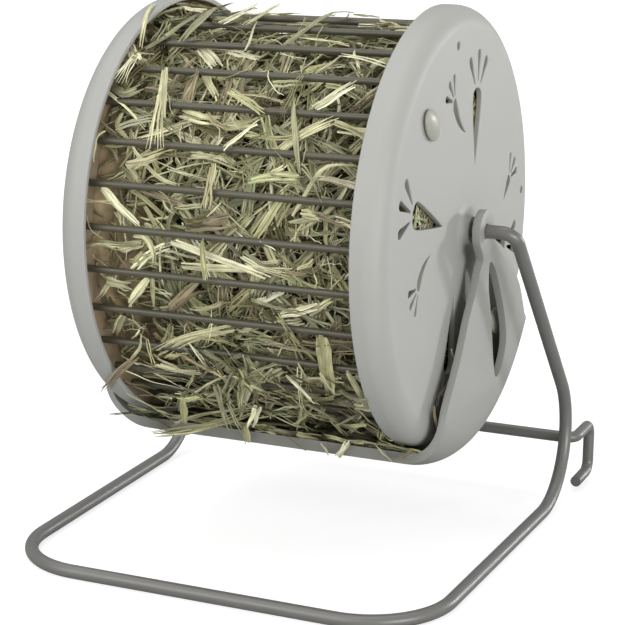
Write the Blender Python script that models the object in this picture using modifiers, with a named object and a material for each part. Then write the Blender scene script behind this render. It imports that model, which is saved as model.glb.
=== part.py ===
"""Rolling hay feeder: a wire-caged drum of hay with pierced end caps, turning on a bent-wire stand over a catch tray.

Metres, +Z up. X runs along the axle and -Y is the front. The origin is on the floor, under the middle of the axle.
"""

import math

import bmesh
import bpy
from mathutils import Matrix, Vector

# General
GAP = 0.0003                      # between pieces that touch
OVERRUN = 0.002                   # how far a cutter runs past what it cuts
MERGE = 0.00001                   # joins points that belong together

# Drum: cage wires and the rings that hold them
DRUM_RADIUS = 0.090
DRUM_WIDTH = 0.138                # from the face of one cap to the face of the other
RING_RECESS = 0.00475             # how deep a ring lies inside its cap's skirt
RING_THICKNESS = 0.0022
RING_LAND = 0.008                 # from the wires in to the ring's filling hole
RING_SLACK = 0.0006               # between a ring's outer edge and the cap's rounded inside
CAGE_INSET = 0.008                # from the drum's outside to the wires' centres
CAGE_WIRE_RADIUS = 0.0014
CAGE_WIRE_COUNT = 30
CAGE_FIRST_ANGLE = math.radians(8.3)
CAGE_WIRE_PROUD = 0.0008          # how far a wire stands out of the ring, inside the cap

# End caps
CAP_DEPTH = 0.01315
CAP_WALL = 0.0022
SHOULDER_RADIUS = 0.0084
BOSS_RADIUS = 0.009
BOSS_HEIGHT = 0.004
SOCKET_DEPTH = 0.0115             # for the axle stub, from the boss's face
SOCKET_WALL = 0.0035
SOCKET_FLOOR = 0.0015
END_PLAY = 0.0007                 # between the stub's end and its socket's floor

# Carrot-shaped cut-outs in the caps
BIG_CARROT_LENGTH = 0.035
BIG_CARROT_WIDTH = 0.0105
BIG_LEAF_LENGTH = 0.0125
BIG_LEAF_WIDTH = 0.0036
BIG_LEAF_GAP = 0.0032             # between a carrot's crown and its leaves
SMALL_CARROT_LENGTH = 0.0205
SMALL_CARROT_WIDTH = 0.0046
SMALL_LEAF_LENGTH = 0.0082
SMALL_LEAF_WIDTH = 0.0026
SMALL_LEAF_GAP = 0.0018
LEAF_ROOT_WIDTH = 0.0008
VENT_RADIUS = 0.0017

# Each carrot: its crown's angle, its crown's distance from the axle as a share of the drum's radius, its lean from
# straight inwards, its length as a share of the full one, and how far its middle bows out as a share of its length
BIG_CARROT_SHARES = (
    (math.radians(164.5), 0.673, math.radians(-2), 1.00, 0.0),
    (math.radians(76.4), 0.640, math.radians(12), 0.90, 0.0),
    (math.radians(-17.0), 0.650, math.radians(6), 0.90, 0.0),
    (math.radians(255.0), 0.655, math.radians(4), 0.95, 0.0),
)
SMALL_CARROT_SHARES = (
    (math.radians(104.8), 0.622, math.radians(30), 1.00, -0.10),
    (math.radians(195.8), 0.596, math.radians(24), 0.85, 0.12),
    (math.radians(12.0), 0.680, math.radians(38), 0.60, 0.0),
    (math.radians(285.0), 0.625, math.radians(27), 0.90, -0.08),
)
BODY_SHARES = (                   # along a carrot from crown to tip, and its half width there
    (0.000, 0.00), (0.035, 0.72), (0.150, 1.00), (0.500, 0.66), (0.820, 0.26),
)
LEAF_SHARES = (                   # along a leaf from root to end, and its half width there
    (0.86, 1.00), (0.98, 0.55),
)
LEAF_LEANS = (math.radians(-36), math.radians(-4), math.radians(33))
LEAF_FAN_SHARE = 0.60             # the leaves fan from a point this share of the half width inside the crown
VENT_SHARES = (                   # angle, and distance from the axle as a share of the drum's radius
    (math.radians(98.2), 0.843),
    (math.radians(3.0), 0.862),
    (math.radians(278.2), 0.843),
)

# Latches that hold the lid to the right ring
LATCH_INSET = 0.010               # from the edge of the ring's filling hole in to a latch's spindle
LATCH_ANGLES = {"front_latch": math.radians(131.5), "rear_latch": math.radians(311.5)}
KNOB_LENGTH = 0.0165
KNOB_WIDTH = 0.012
KNOB_HEIGHT = 0.0029
SPINDLE_RADIUS = 0.004
COLLAR_RADIUS = 0.005
NOSE_WIDTH = 0.006
NOSE_THICKNESS = 0.0020
NOSE_BITE = 0.0040                # how far the nose reaches behind the ring
KNOB_SHARES = (                   # a knob's section: distance out, and height
    (0.00, 1.00), (0.50, 0.97), (0.80, 0.80), (0.95, 0.50), (1.00, 0.00), (0.00, 0.00),
)

# Catch tray
TRAY_WALL = 0.003
TRAY_FLOOR_WALL = 0.0042
TRAY_DRUM_CLEARANCE = 0.0033
TRAY_KNOB_CLEARANCE = 0.0018
TRAY_FILLET = 0.0185
TRAY_INNER_FILLET = 0.013
EAR_STEP = 0.002                  # how far an ear stands out of its end wall
EAR_THICKNESS = 0.0038
EAR_RADIUS = 0.0088
EAR_NECK_RADIUS = 0.0165          # where the step out to the ear starts

# The end walls' outline and window, in Y and Z from the axle, as shares of the tray's outer radius
FRONT_EDGE_SHARES = (
    (-0.058, -0.110), (-0.050, -0.246), (-0.056, -0.373), (-0.138, -0.484), (-0.250, -0.582),
    (-0.378, -0.706), (-0.410, -0.788), (-0.394, -0.858), (-0.374, -0.930),
)
REAR_EDGE_SHARES = (
    (0.636, -0.494), (0.553, -0.348), (0.455, -0.256), (0.317, -0.139), (0.164, -0.062), (0.076, -0.013),
)
WINDOW_SHARES = (
    (0.115, -0.159), (0.185, -0.193), (0.271, -0.310), (0.344, -0.441), (0.373, -0.567), (0.310, -0.669),
    (0.237, -0.689), (0.203, -0.616), (0.175, -0.499), (0.144, -0.378), (0.110, -0.266),
)
TRAY_FRONT_ANGLE = math.radians(-111.9)
TRAY_REAR_ANGLE = math.radians(-37.8)

# Stand: the main wire, then the crossbar with its hooks
STAND_WIRE_RADIUS = 0.0028
STAND_WIRE_SIDES = 12
TRAY_FLOOR_CLEARANCE = 0.0370     # under the tray
ARM_STANDOFF = 0.012              # from an ear to the centre of the arm beside it
ARM_SPREAD = 0.0045               # how much further out the arms are at the back of the base
BASE_DRAW_IN = 0.0002             # how much further in the base is at the front than the arms at the top
BASE_FRONT = 0.103                # from under the axle to the front bar
BASE_REAR = 0.1102                # from under the axle to where arm and base would meet unbent
STUB_BEND = 0.0065
REAR_BEND = 0.0319
FRONT_BEND = 0.0345
WELD_HEIGHT = 0.0275              # of the welds between the crossbar and the arms
BAR_RADIUS = 0.0025
HOOK_OUTSET = 0.003               # from an arm's centre out to its hook
HOOK_DEPTH = 0.0247
HOOK_DROP = 0.0221
HOOK_RETURN = 0.020
HOOK_BEND = 0.005

# How finely round forms are divided
CAP_STEPS = 56
TRAY_STEPS = 64
HAY_STEPS = 32
SMALL_STEPS = 20
HOLE_SIDES = 6
CURVE_PIECES = 2
WIRE_TURN_STEP = math.radians(11)

# Places that follow from those sizes, measured along the axle from its middle
CAP_FACE_X = DRUM_WIDTH / 2
CAP_EDGE_X = CAP_FACE_X - CAP_DEPTH
RING_INNER_X = CAP_EDGE_X + RING_RECESS
RING_OUTER_X = RING_INNER_X + RING_THICKNESS
CAP_INSIDE_X = CAP_FACE_X - CAP_WALL
SHOULDER_X = CAP_FACE_X - SHOULDER_RADIUS
BOSS_X = CAP_FACE_X + BOSS_HEIGHT
SOCKET_X = BOSS_X - SOCKET_DEPTH
KNOB_BASE_X = CAP_FACE_X + GAP
NOSE_TOP_X = RING_INNER_X - GAP
NOSE_LOW_X = NOSE_TOP_X - NOSE_THICKNESS
TRAY_INSIDE_X = KNOB_BASE_X + KNOB_HEIGHT + TRAY_KNOB_CLEARANCE
TRAY_OUTSIDE_X = TRAY_INSIDE_X + TRAY_WALL
EAR_X = TRAY_OUTSIDE_X + EAR_STEP
ARM_X = EAR_X + ARM_STANDOFF

# Radii and heights that follow
FACE_RADIUS = DRUM_RADIUS - SHOULDER_RADIUS
INNER_SHOULDER = SHOULDER_RADIUS - CAP_WALL
CAGE_RADIUS = DRUM_RADIUS - CAGE_INSET
RING_HOLE_RADIUS = CAGE_RADIUS - RING_LAND
RING_RADIUS = FACE_RADIUS + math.sqrt(INNER_SHOULDER ** 2 - (RING_OUTER_X - SHOULDER_X) ** 2) - RING_SLACK
BORE_RADIUS = STAND_WIRE_RADIUS + GAP
SOCKET_OUTSIDE_RADIUS = BORE_RADIUS + SOCKET_WALL
LATCH_DISTANCE = RING_HOLE_RADIUS - LATCH_INSET
HAY_RADIUS = CAGE_RADIUS - CAGE_WIRE_RADIUS - GAP
HAY_PLUG_RADIUS = LATCH_DISTANCE - COLLAR_RADIUS - OVERRUN
TRAY_INSIDE_RADIUS = DRUM_RADIUS + TRAY_DRUM_CLEARANCE
TRAY_RADIUS = TRAY_INSIDE_RADIUS + TRAY_FLOOR_WALL
AXLE_HEIGHT = TRAY_RADIUS + TRAY_FLOOR_CLEARANCE
BASE_HEIGHT = STAND_WIRE_RADIUS * math.cos(math.pi / STAND_WIRE_SIDES)
NOSE_REACH = LATCH_INSET + NOSE_BITE

# Turned and flat pieces are drawn square to the axle: their own x, y and z become Y, Z and X
AXLE = Matrix.Translation((0, 0, AXLE_HEIGHT))
RIGHT_SIDE = AXLE @ Matrix(((0, 0, 1), (1, 0, 0), (0, 1, 0))).to_4x4()
LEFT_SIDE = Matrix.Rotation(math.pi, 4, "Z") @ RIGHT_SIDE


def add_collection(name, helper=False):
    collection = bpy.data.collections.new(name)
    bpy.context.scene.collection.children.link(collection)
    collection.hide_render = helper
    return collection


def add_material(name, colour, roughness, metallic):
    material = bpy.data.materials.new(name)
    material.use_nodes = True
    shader = material.node_tree.nodes["Principled BSDF"]
    shader.inputs["Base Color"].default_value = (*colour, 1)
    shader.inputs["Roughness"].default_value = roughness
    shader.inputs["Metallic"].default_value = metallic
    material.diffuse_color = (*colour, 1)
    return material


def add_object(name, data, frame, collection):
    made = bpy.data.objects.new(name, data)
    made.matrix_world = frame
    collection.objects.link(made)
    return made


def as_mesh(source):
    """The source's shape, with its modifiers, as a plain mesh object at the same place; the source is removed."""
    bpy.context.view_layer.update()
    evaluated = source.evaluated_get(bpy.context.evaluated_depsgraph_get())
    mesh = bpy.data.meshes.new_from_object(evaluated)
    shape = bmesh.new()
    shape.from_mesh(mesh)
    bmesh.ops.remove_doubles(shape, verts=shape.verts, dist=MERGE)
    shape.to_mesh(mesh)
    shape.free()
    mesh.shade_smooth()
    mesh.set_sharp_from_angle(angle=math.radians(35))
    name, frame, collection = source.name, source.matrix_world.copy(), source.users_collection[0]
    bpy.data.objects.remove(source)
    mesh.name = name
    return add_object(name, mesh, frame, collection)


def turned(name, profiles, frame, steps, collection, closed=False):
    """A solid turned about its own z. A profile's points are (distance from the axis, height), top to bottom."""
    points = []
    edges = []
    for profile in profiles:
        first = len(points)
        points += [(distance, 0, height) for distance, height in profile]
        edges += [(k, k + 1) for k in range(first, len(points) - 1)]
        if closed:
            edges.append((len(points) - 1, first))
    mesh = bpy.data.meshes.new(name)
    mesh.from_pydata(points, edges, [])
    piece = add_object(name, mesh, frame, collection)
    screw = piece.modifiers.new("turn", "SCREW")
    screw.steps = steps
    screw.render_steps = steps
    screw.use_merge_vertices = True
    screw.merge_threshold = MERGE
    return as_mesh(piece)


def prism(name, outlines, low, high, frame, collection):
    """Flat closed outlines, drawn in x and y, filled from the height low to the height high."""
    curve = bpy.data.curves.new(name, "CURVE")
    curve.dimensions = "2D"
    curve.fill_mode = "BOTH"
    curve.extrude = (high - low) / 2
    for outline in outlines:
        spline = curve.splines.new("POLY")
        spline.points.add(len(outline) - 1)
        for point, (x, y) in zip(spline.points, outline):
            point.co = (x, y, 0, 1)
        spline.use_cyclic_u = True
    middle = Matrix.Translation((0, 0, (low + high) / 2))
    return as_mesh(add_object(name, curve, frame @ middle, collection))


def wire(name, line, radius, sides, frame, collection):
    """A round wire along a centre line, with flat ends."""
    curve = bpy.data.curves.new(name, "CURVE")
    curve.dimensions = "3D"
    curve.bevel_depth = radius
    curve.bevel_resolution = sides // 2 - 2
    curve.use_fill_caps = True
    spline = curve.splines.new("POLY")
    spline.points.add(len(line) - 1)
    for point, place in zip(spline.points, line):
        point.co = (*place, 1)
    spline.use_smooth = True
    return add_object(name, curve, frame, collection)


def boolean(piece, operation, tool):
    """Cuts or joins at once; the tool stays as a wire-drawn helper."""
    step = piece.modifiers.new(tool.name, "BOOLEAN")
    step.operation = operation
    step.solver = "EXACT"
    step.object = tool
    tool.display_type = "WIRE"
    tool.hide_render = True
    return as_mesh(piece)


def arc(centre, radius, start, end, count):
    """Points on a circle from one angle to another, both included."""
    angles = [start + (end - start) * k / count for k in range(count + 1)]
    return [(centre[0] + radius * math.cos(a), centre[1] + radius * math.sin(a)) for a in angles]


def smooth_through(points, pieces):
    """A smooth open line through the points, in this many pieces between each two."""
    padded = [points[0], *points, points[-1]]
    line = []
    for a, b, c, d in zip(padded, padded[1:], padded[2:], padded[3:]):
        for k in range(pieces):
            t = k / pieces
            weights = (
                -t / 2 + t * t - t ** 3 / 2,
                1 - 5 * t * t / 2 + 3 * t ** 3 / 2,
                t / 2 + 2 * t * t - 3 * t ** 3 / 2,
                -t * t / 2 + t ** 3 / 2,
            )
            line.append(tuple(sum(w * p[i] for w, p in zip(weights, (a, b, c, d))) for i in (0, 1)))
    return [*line, tuple(points[-1])]


def polar(distance, angle):
    return Vector((distance * math.cos(angle), distance * math.sin(angle)))


def scaled(shares, size):
    return [(x * size, y * size) for x, y in shares]


def bent(corners, bends):
    """A wire's centre line: straight runs between the corners, and an arc of its bend radius at each inner corner."""
    line = [corners[0]]
    for before, corner, after, bend in zip(corners, corners[1:], corners[2:], bends):
        back = (before - corner).normalized()
        ahead = (after - corner).normalized()
        turn = math.pi - back.angle(ahead)
        centre = corner + (back + ahead).normalized() * (bend / math.cos(turn / 2))
        start = corner + back * (bend * math.tan(turn / 2)) - centre
        axis = ahead.cross(back).normalized()
        count = math.ceil(turn / WIRE_TURN_STEP)
        line += [centre + Matrix.Rotation(turn * k / count, 3, axis) @ start for k in range(count + 1)]
    return [*line, corners[-1]]


def mirrored(corners):
    """The right half's corners, then the same ones of the left half in reverse."""
    return [*corners, *(Vector((-p.x, p.y, p.z)) for p in reversed(corners))]


def rest_flat(piece, sides, radius, centre_height):
    """Rolls a wire's facets round its centre line until a flat one lies underneath its lowest run."""

    def roll(angle):
        for point in piece.data.splines[0].points:
            point.tilt = angle
        piece.data.update_tag()
        bpy.context.view_layer.update()
        mesh = piece.evaluated_get(bpy.context.evaluated_depsgraph_get()).to_mesh()
        return min((piece.matrix_world @ vertex.co).z for vertex in mesh.vertices)

    below = (centre_height - roll(0)) / radius
    missing = math.pi / sides - math.acos(min(1, below))
    roll(max((missing, -missing), key=roll))


# Cut-outs


def carrot(crown, inward, length, width, bow):
    """A carrot's outline: a rounded crown at one end and a point at the other."""
    side = Vector((-inward.y, inward.x))

    def place(along, across):
        middle = crown + inward * (length * along) + side * (length * bow * 4 * along * (1 - along))
        return middle + side * (width / 2 * across)

    tip = tuple(place(1, 0))
    left = [tuple(place(along, half)) for along, half in BODY_SHARES]
    right = [tuple(place(along, -half)) for along, half in BODY_SHARES[1:]]
    return smooth_through([tip, *reversed(left), *right, tip], CURVE_PIECES)[1:]


def leaf(root, outward, length, width):
    """A leaf's outline: narrow at its root, widest near its end."""
    side = Vector((-outward.y, outward.x))
    left = [root + side * (LEAF_ROOT_WIDTH / 2)]
    right = [root - side * (LEAF_ROOT_WIDTH / 2)]
    for along, half in LEAF_SHARES:
        left.append(root + outward * (length * along) + side * (width / 2 * half))
        right.append(root + outward * (length * along) - side * (width / 2 * half))
    return [tuple(point) for point in (*right, *reversed(left))]


def carrot_with_leaves(shares, length, width, leaf_length, leaf_width, leaf_gap):
    """Outlines of one carrot and its three leaves on a cap's face."""
    angle, distance_share, lean, length_share, bow_share = shares
    crown = polar(DRUM_RADIUS * distance_share, angle)
    inward = polar(1, angle + math.pi + lean)
    outlines = [carrot(crown, inward, length * length_share, width, bow_share)]
    fan_centre = crown + inward * (width / 2 * LEAF_FAN_SHARE)
    fan_radius = width / 2 * LEAF_FAN_SHARE + leaf_gap
    for leaf_lean in LEAF_LEANS:
        outward = polar(1, angle + lean + leaf_lean)
        outlines.append(leaf(fan_centre + outward * fan_radius, outward, leaf_length, leaf_width))
    return outlines


def cutout_outlines():
    outlines = []
    for shares in BIG_CARROT_SHARES:
        outlines += carrot_with_leaves(
            shares, BIG_CARROT_LENGTH, BIG_CARROT_WIDTH, BIG_LEAF_LENGTH, BIG_LEAF_WIDTH, BIG_LEAF_GAP
        )
    for shares in SMALL_CARROT_SHARES:
        outlines += carrot_with_leaves(
            shares, SMALL_CARROT_LENGTH, SMALL_CARROT_WIDTH, SMALL_LEAF_LENGTH, SMALL_LEAF_WIDTH, SMALL_LEAF_GAP
        )
    for angle, distance_share in VENT_SHARES:
        outlines.append(arc(polar(DRUM_RADIUS * distance_share, angle), VENT_RADIUS, 0, math.tau, SMALL_STEPS // 2)[:-1])
    return outlines


# Drum


def latch_frame(angle):
    """A latch's own frame: x points away from the axle, and z runs along the spindle as the axle does."""
    turn = AXLE @ Matrix.Rotation(angle, 4, "X") @ Matrix.Translation((0, LATCH_DISTANCE, 0))
    return turn @ AXLE.inverted() @ RIGHT_SIDE


def end_cap(name, side, cutters, collection):
    """A dished cap: a rounded shoulder, a hub boss with the axle stub's blind socket, and carrot-shaped cut-outs."""
    profile = [(0, SOCKET_X), (BORE_RADIUS, SOCKET_X), (BORE_RADIUS, BOSS_X), (BOSS_RADIUS, BOSS_X)]
    profile += [(BOSS_RADIUS, CAP_FACE_X)]
    profile += arc((FACE_RADIUS, SHOULDER_X), SHOULDER_RADIUS, math.pi / 2, 0, 4)
    profile += [(DRUM_RADIUS, CAP_EDGE_X), (DRUM_RADIUS - CAP_WALL, CAP_EDGE_X)]
    profile += arc((FACE_RADIUS, SHOULDER_X), INNER_SHOULDER, 0, math.pi / 2, 3)
    profile += [(SOCKET_OUTSIDE_RADIUS, CAP_INSIDE_X), (SOCKET_OUTSIDE_RADIUS, SOCKET_X - SOCKET_FLOOR)]
    profile += [(0, SOCKET_X - SOCKET_FLOOR)]
    cap = turned(name, [profile], side, CAP_STEPS, collection)
    low = CAP_INSIDE_X - OVERRUN
    high = CAP_FACE_X + OVERRUN
    cutter = prism(name + "_cutouts", cutout_outlines(), low, high, side, cutters)
    return boolean(cap, "DIFFERENCE", cutter)


def lid(cutters, collection):
    """The right cap, with a hole for each latch's spindle."""
    cap = end_cap("lid", RIGHT_SIDE, cutters, collection)
    circle = arc((0, 0), SPINDLE_RADIUS + GAP, 0, math.tau, SMALL_STEPS)[:-1]
    for name, angle in LATCH_ANGLES.items():
        low = CAP_INSIDE_X - OVERRUN
        high = CAP_FACE_X + OVERRUN
        hole = prism(name + "_hole", [circle], low, high, latch_frame(angle), cutters)
        cap = boolean(cap, "DIFFERENCE", hole)
    return cap


def wire_ring(name, side, cutters, collection):
    """A flat ring inside a cap's skirt, with a hole for each cage wire and a wide one to fill the drum through."""
    profile = [
        (RING_RADIUS, RING_OUTER_X), (RING_RADIUS, RING_INNER_X),
        (RING_HOLE_RADIUS, RING_INNER_X), (RING_HOLE_RADIUS, RING_OUTER_X),
    ]
    ring = turned(name, [profile], side, CAP_STEPS, collection, closed=True)
    mirror_angle = 0 if side is RIGHT_SIDE else math.pi
    hole_radius = (CAGE_WIRE_RADIUS + GAP) / math.cos(math.pi / HOLE_SIDES)
    holes = []
    for k in range(CAGE_WIRE_COUNT):
        angle = CAGE_FIRST_ANGLE + math.tau * k / CAGE_WIRE_COUNT
        angle = angle if mirror_angle == 0 else mirror_angle - angle
        centre = polar(CAGE_RADIUS, angle)
        holes.append(arc(centre, hole_radius, angle, angle + math.tau, HOLE_SIDES)[:-1])
    low = RING_INNER_X - OVERRUN
    high = RING_OUTER_X + OVERRUN
    return boolean(ring, "DIFFERENCE", prism(name + "_holes", holes, low, high, side, cutters))


def latch(name, angle, cutters, collection):
    """A turn latch: an oval knob outside the lid, a spindle through it, and a nose that catches behind the ring."""
    frame = latch_frame(angle)
    knob_middle = KNOB_BASE_X + KNOB_HEIGHT / 2
    collar_top = CAP_INSIDE_X - GAP
    spindle = [
        (0, knob_middle), (SPINDLE_RADIUS, knob_middle), (SPINDLE_RADIUS, collar_top),
        (COLLAR_RADIUS, collar_top), (COLLAR_RADIUS, NOSE_LOW_X), (0, NOSE_LOW_X),
    ]
    piece = turned(name, [spindle], frame, SMALL_STEPS, collection)
    knob_profile = [(KNOB_WIDTH / 2 * out, KNOB_BASE_X + KNOB_HEIGHT * up) for out, up in KNOB_SHARES]
    stretch = Matrix.Diagonal((KNOB_LENGTH / KNOB_WIDTH, 1, 1, 1))
    knob = turned(name + "_knob", [knob_profile], frame @ stretch, SMALL_STEPS, cutters)
    half = NOSE_WIDTH / 2
    outline = [(0, -half), *arc((NOSE_REACH - half, 0), half, -math.pi / 2, math.pi / 2, 6), (0, half)]
    nose = prism(name + "_nose", [outline], NOSE_LOW_X, NOSE_TOP_X, frame, cutters)
    return boolean(boolean(piece, "UNION", knob), "UNION", nose)


def cage_wires(collection):
    """Straight wires from ring to ring; all share one shape."""
    end = RING_OUTER_X + CAGE_WIRE_PROUD
    first = None
    wires = []
    for k in range(CAGE_WIRE_COUNT):
        angle = CAGE_FIRST_ANGLE + math.tau * k / CAGE_WIRE_COUNT
        frame = AXLE @ Matrix.Rotation(angle, 4, "X") @ Matrix.Translation((0, CAGE_RADIUS, 0))
        name = f"cage_wire_{k + 1:02d}"
        if first is None:
            first = wire(name, [(-end, 0, 0), (end, 0, 0)], CAGE_WIRE_RADIUS, 8, frame, collection)
            wires.append(first)
        else:
            wires.append(add_object(name, first.data, frame, collection))
    return wires


def hay_fill(collection):
    """The hay as one plain solid: it fills the cage, and bulges through the ring's filling holes into the caps."""
    half = [
        (0, SOCKET_X - SOCKET_FLOOR - GAP), (SOCKET_OUTSIDE_RADIUS + GAP, SOCKET_X - SOCKET_FLOOR - GAP),
        (SOCKET_OUTSIDE_RADIUS + GAP, CAP_INSIDE_X - GAP), (HAY_PLUG_RADIUS, CAP_INSIDE_X - GAP),
        (HAY_PLUG_RADIUS, NOSE_LOW_X - GAP), (HAY_RADIUS, NOSE_LOW_X - GAP),
    ]
    profile = [*half, *((distance, -height) for distance, height in reversed(half))]
    return turned("hay_fill", [profile], RIGHT_SIDE, HAY_STEPS, collection)


# Catch tray


def tray_skin(wall_x, radius, fillet, ear_x):
    """Half a turned section of the tray's skin, from the middle of an ear round to the middle of the trough."""
    skin = [(0, ear_x), (EAR_RADIUS, ear_x), (EAR_NECK_RADIUS, wall_x)]
    skin += arc((radius - fillet, wall_x - fillet), fillet, math.pi / 2, 0, 5)
    return skin


def catch_tray(cutters, collection):
    """A trough round the drum's underside, with end walls that narrow to an ear round each axle stub."""
    outer = tray_skin(TRAY_OUTSIDE_X, TRAY_RADIUS, TRAY_FILLET, EAR_X)
    inner = tray_skin(TRAY_INSIDE_X, TRAY_INSIDE_RADIUS, TRAY_INNER_FILLET, EAR_X - EAR_THICKNESS)
    outer_profile = [*outer, *((distance, -height) for distance, height in reversed(outer))]
    inner_profile = [*inner, *((distance, -height) for distance, height in reversed(inner))]
    tray = turned("catch_tray", [outer_profile, inner_profile[::-1]], RIGHT_SIDE, TRAY_STEPS, collection)

    beyond = TRAY_RADIUS + OVERRUN
    front = smooth_through(scaled(FRONT_EDGE_SHARES, TRAY_RADIUS), CURVE_PIECES)
    rear = smooth_through(scaled(REAR_EDGE_SHARES, TRAY_RADIUS), CURVE_PIECES)
    under = arc((0, 0), beyond, TRAY_FRONT_ANGLE, TRAY_REAR_ANGLE, 12)
    ear_start = math.atan2(rear[-1][1], rear[-1][0])
    ear_end = math.atan2(front[0][1], front[0][0]) + math.tau
    ear = arc((0, 0), EAR_RADIUS, ear_start, ear_end, SMALL_STEPS)
    width = EAR_X + OVERRUN
    shape = prism("tray_outline", [[*front, *under, *rear, *ear]], -width, width, RIGHT_SIDE, cutters)
    tray = boolean(tray, "INTERSECT", shape)

    closed_window = [*WINDOW_SHARES, WINDOW_SHARES[0]]
    window = smooth_through(scaled(closed_window, TRAY_RADIUS), 2)[1:]
    bore = arc((0, 0), BORE_RADIUS, 0, math.tau, SMALL_STEPS)[:-1]
    holes = prism("tray_holes", [window, bore], -width, width, RIGHT_SIDE, cutters)
    return boolean(tray, "DIFFERENCE", holes)


# Stand


def stand_line():
    """The main wire's centre line: stub, arm, base, and the same again on the left."""
    right = [
        Vector((SOCKET_X + END_PLAY, 0, AXLE_HEIGHT)), Vector((ARM_X, 0, AXLE_HEIGHT)),
        Vector((ARM_X + ARM_SPREAD, BASE_REAR, BASE_HEIGHT)),
        Vector((ARM_X - BASE_DRAW_IN, -BASE_FRONT, BASE_HEIGHT)),
    ]
    bends = [STUB_BEND, REAR_BEND, FRONT_BEND]
    return bent(mirrored(right), [*bends, *reversed(bends)])


def stand_wire(collection):
    frame = Matrix.Identity(4)
    piece = wire("stand_wire", stand_line(), STAND_WIRE_RADIUS, STAND_WIRE_SIDES, frame, collection)
    rest_flat(piece, STAND_WIRE_SIDES, STAND_WIRE_RADIUS, BASE_HEIGHT)
    return piece


def weld_place():
    """Where the right arm passes the weld height, and the direction square to it that points backwards."""
    line = stand_line()
    for above, below in zip(line, line[1:]):
        if above.z >= WELD_HEIGHT > below.z:
            spot = above.lerp(below, (above.z - WELD_HEIGHT) / (above.z - below.z))
            run = below - above
            return spot, Vector((0, -run.z, run.y)).normalized()
    return line[0], Vector((0, 1, 0))


def rear_crossbar(collection):
    """The bar behind both arms, whose ends are bent back, down and forward again as hooks."""
    spot, backwards = weld_place()
    centre = spot + backwards * (STAND_WIRE_RADIUS + GAP + BAR_RADIUS)
    hook_x = spot.x + HOOK_OUTSET
    back_y = centre.y + HOOK_DEPTH
    low_z = centre.z - HOOK_DROP
    right = [
        Vector((hook_x, back_y - HOOK_RETURN, low_z)), Vector((hook_x, back_y, low_z)),
        Vector((hook_x, back_y, centre.z)), Vector((hook_x, centre.y, centre.z)),
    ]
    line = bent(mirrored(right), [HOOK_BEND] * 6)
    return wire("rear_crossbar", line, BAR_RADIUS, 8, Matrix.Identity(4), collection)


def main():
    for item in list(bpy.data.objects):
        bpy.data.objects.remove(item, do_unlink=True)
    feeder = add_collection("rolling_hay_feeder")
    cutters = add_collection("cutters", helper=True)

    cap_plastic = add_material("cap_plastic", (0.49, 0.49, 0.465), 0.42, 0)
    ring_plastic = add_material("ring_plastic", (0.47, 0.47, 0.445), 0.45, 0)
    latch_plastic = add_material("latch_plastic", (0.60, 0.59, 0.53), 0.38, 0)
    tray_plastic = add_material("tray_plastic", (0.45, 0.45, 0.43), 0.40, 0)
    coated_wire = add_material("coated_wire", (0.085, 0.083, 0.078), 0.35, 0.7)
    cage_steel = add_material("cage_steel", (0.12, 0.115, 0.105), 0.40, 0.7)
    hay = add_material("hay", (0.30, 0.31, 0.14), 0.85, 0)

    axle = add_object("axle_centre", None, AXLE, feeder)
    pieces = {
        cap_plastic: [lid(cutters, feeder), end_cap("left_cap", LEFT_SIDE, cutters, feeder)],
        ring_plastic: [
            wire_ring("right_ring", RIGHT_SIDE, cutters, feeder), wire_ring("left_ring", LEFT_SIDE, cutters, feeder),
        ],
        latch_plastic: [latch(name, angle, cutters, feeder) for name, angle in LATCH_ANGLES.items()],
        tray_plastic: [catch_tray(cutters, feeder)],
        cage_steel: cage_wires(feeder),
        hay: [hay_fill(feeder)],
        coated_wire: [stand_wire(feeder), rear_crossbar(feeder)],
    }
    for material, group in pieces.items():
        for piece in group:
            piece.data.materials.clear()
            piece.data.materials.append(material)
            if material is not coated_wire:
                frame = piece.matrix_world.copy()
                piece.parent = axle
                piece.matrix_world = frame
    bpy.context.view_layer.update()


main()
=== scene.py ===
"""Rolling hay feeder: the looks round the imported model, in the same frame and in metres."""

import math

import bmesh
import bpy
import numpy as np
from mathutils import Matrix, Vector


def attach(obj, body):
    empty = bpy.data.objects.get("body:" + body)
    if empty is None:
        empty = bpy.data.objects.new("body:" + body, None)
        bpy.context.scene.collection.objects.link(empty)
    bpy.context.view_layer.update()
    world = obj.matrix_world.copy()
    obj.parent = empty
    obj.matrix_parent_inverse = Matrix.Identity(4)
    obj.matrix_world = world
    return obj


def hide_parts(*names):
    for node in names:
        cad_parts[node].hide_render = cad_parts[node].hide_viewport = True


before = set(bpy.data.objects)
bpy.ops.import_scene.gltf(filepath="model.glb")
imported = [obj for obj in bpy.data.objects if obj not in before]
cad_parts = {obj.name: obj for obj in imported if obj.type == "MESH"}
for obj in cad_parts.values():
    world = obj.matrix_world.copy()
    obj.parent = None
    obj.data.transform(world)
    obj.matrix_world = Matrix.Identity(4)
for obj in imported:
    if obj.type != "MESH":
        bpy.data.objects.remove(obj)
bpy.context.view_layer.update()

# Sizes: the CAD model's, but for thin trim that was measured again
GAP = 0.0003
AXLE_HEIGHT = 0.1345
DRUM_RADIUS = 0.090
CAP_WALL = 0.0022
CAP_EDGE_X = 0.05585
CAP_FACE_X = 0.069
SHOULDER_RADIUS = 0.0084
BOSS_RADIUS = 0.009
BOSS_TIP_RADIUS = 0.0057
BOSS_X = 0.073
BORE_RADIUS = 0.0031
SOCKET_WALL = 0.0035
SOCKET_X = 0.0615
SOCKET_FLOOR = 0.0015
RING_INNER_X = 0.0606
RING_OUTER_X = 0.0628
RING_HOLE_RADIUS = 0.074
RING_RADIUS = 0.0868
CAGE_RADIUS = 0.082
CAGE_WIRE_RADIUS = 0.0014
CAGE_WIRE_COUNT = 30
CAGE_FIRST_ANGLE = math.radians(8.3)
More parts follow.
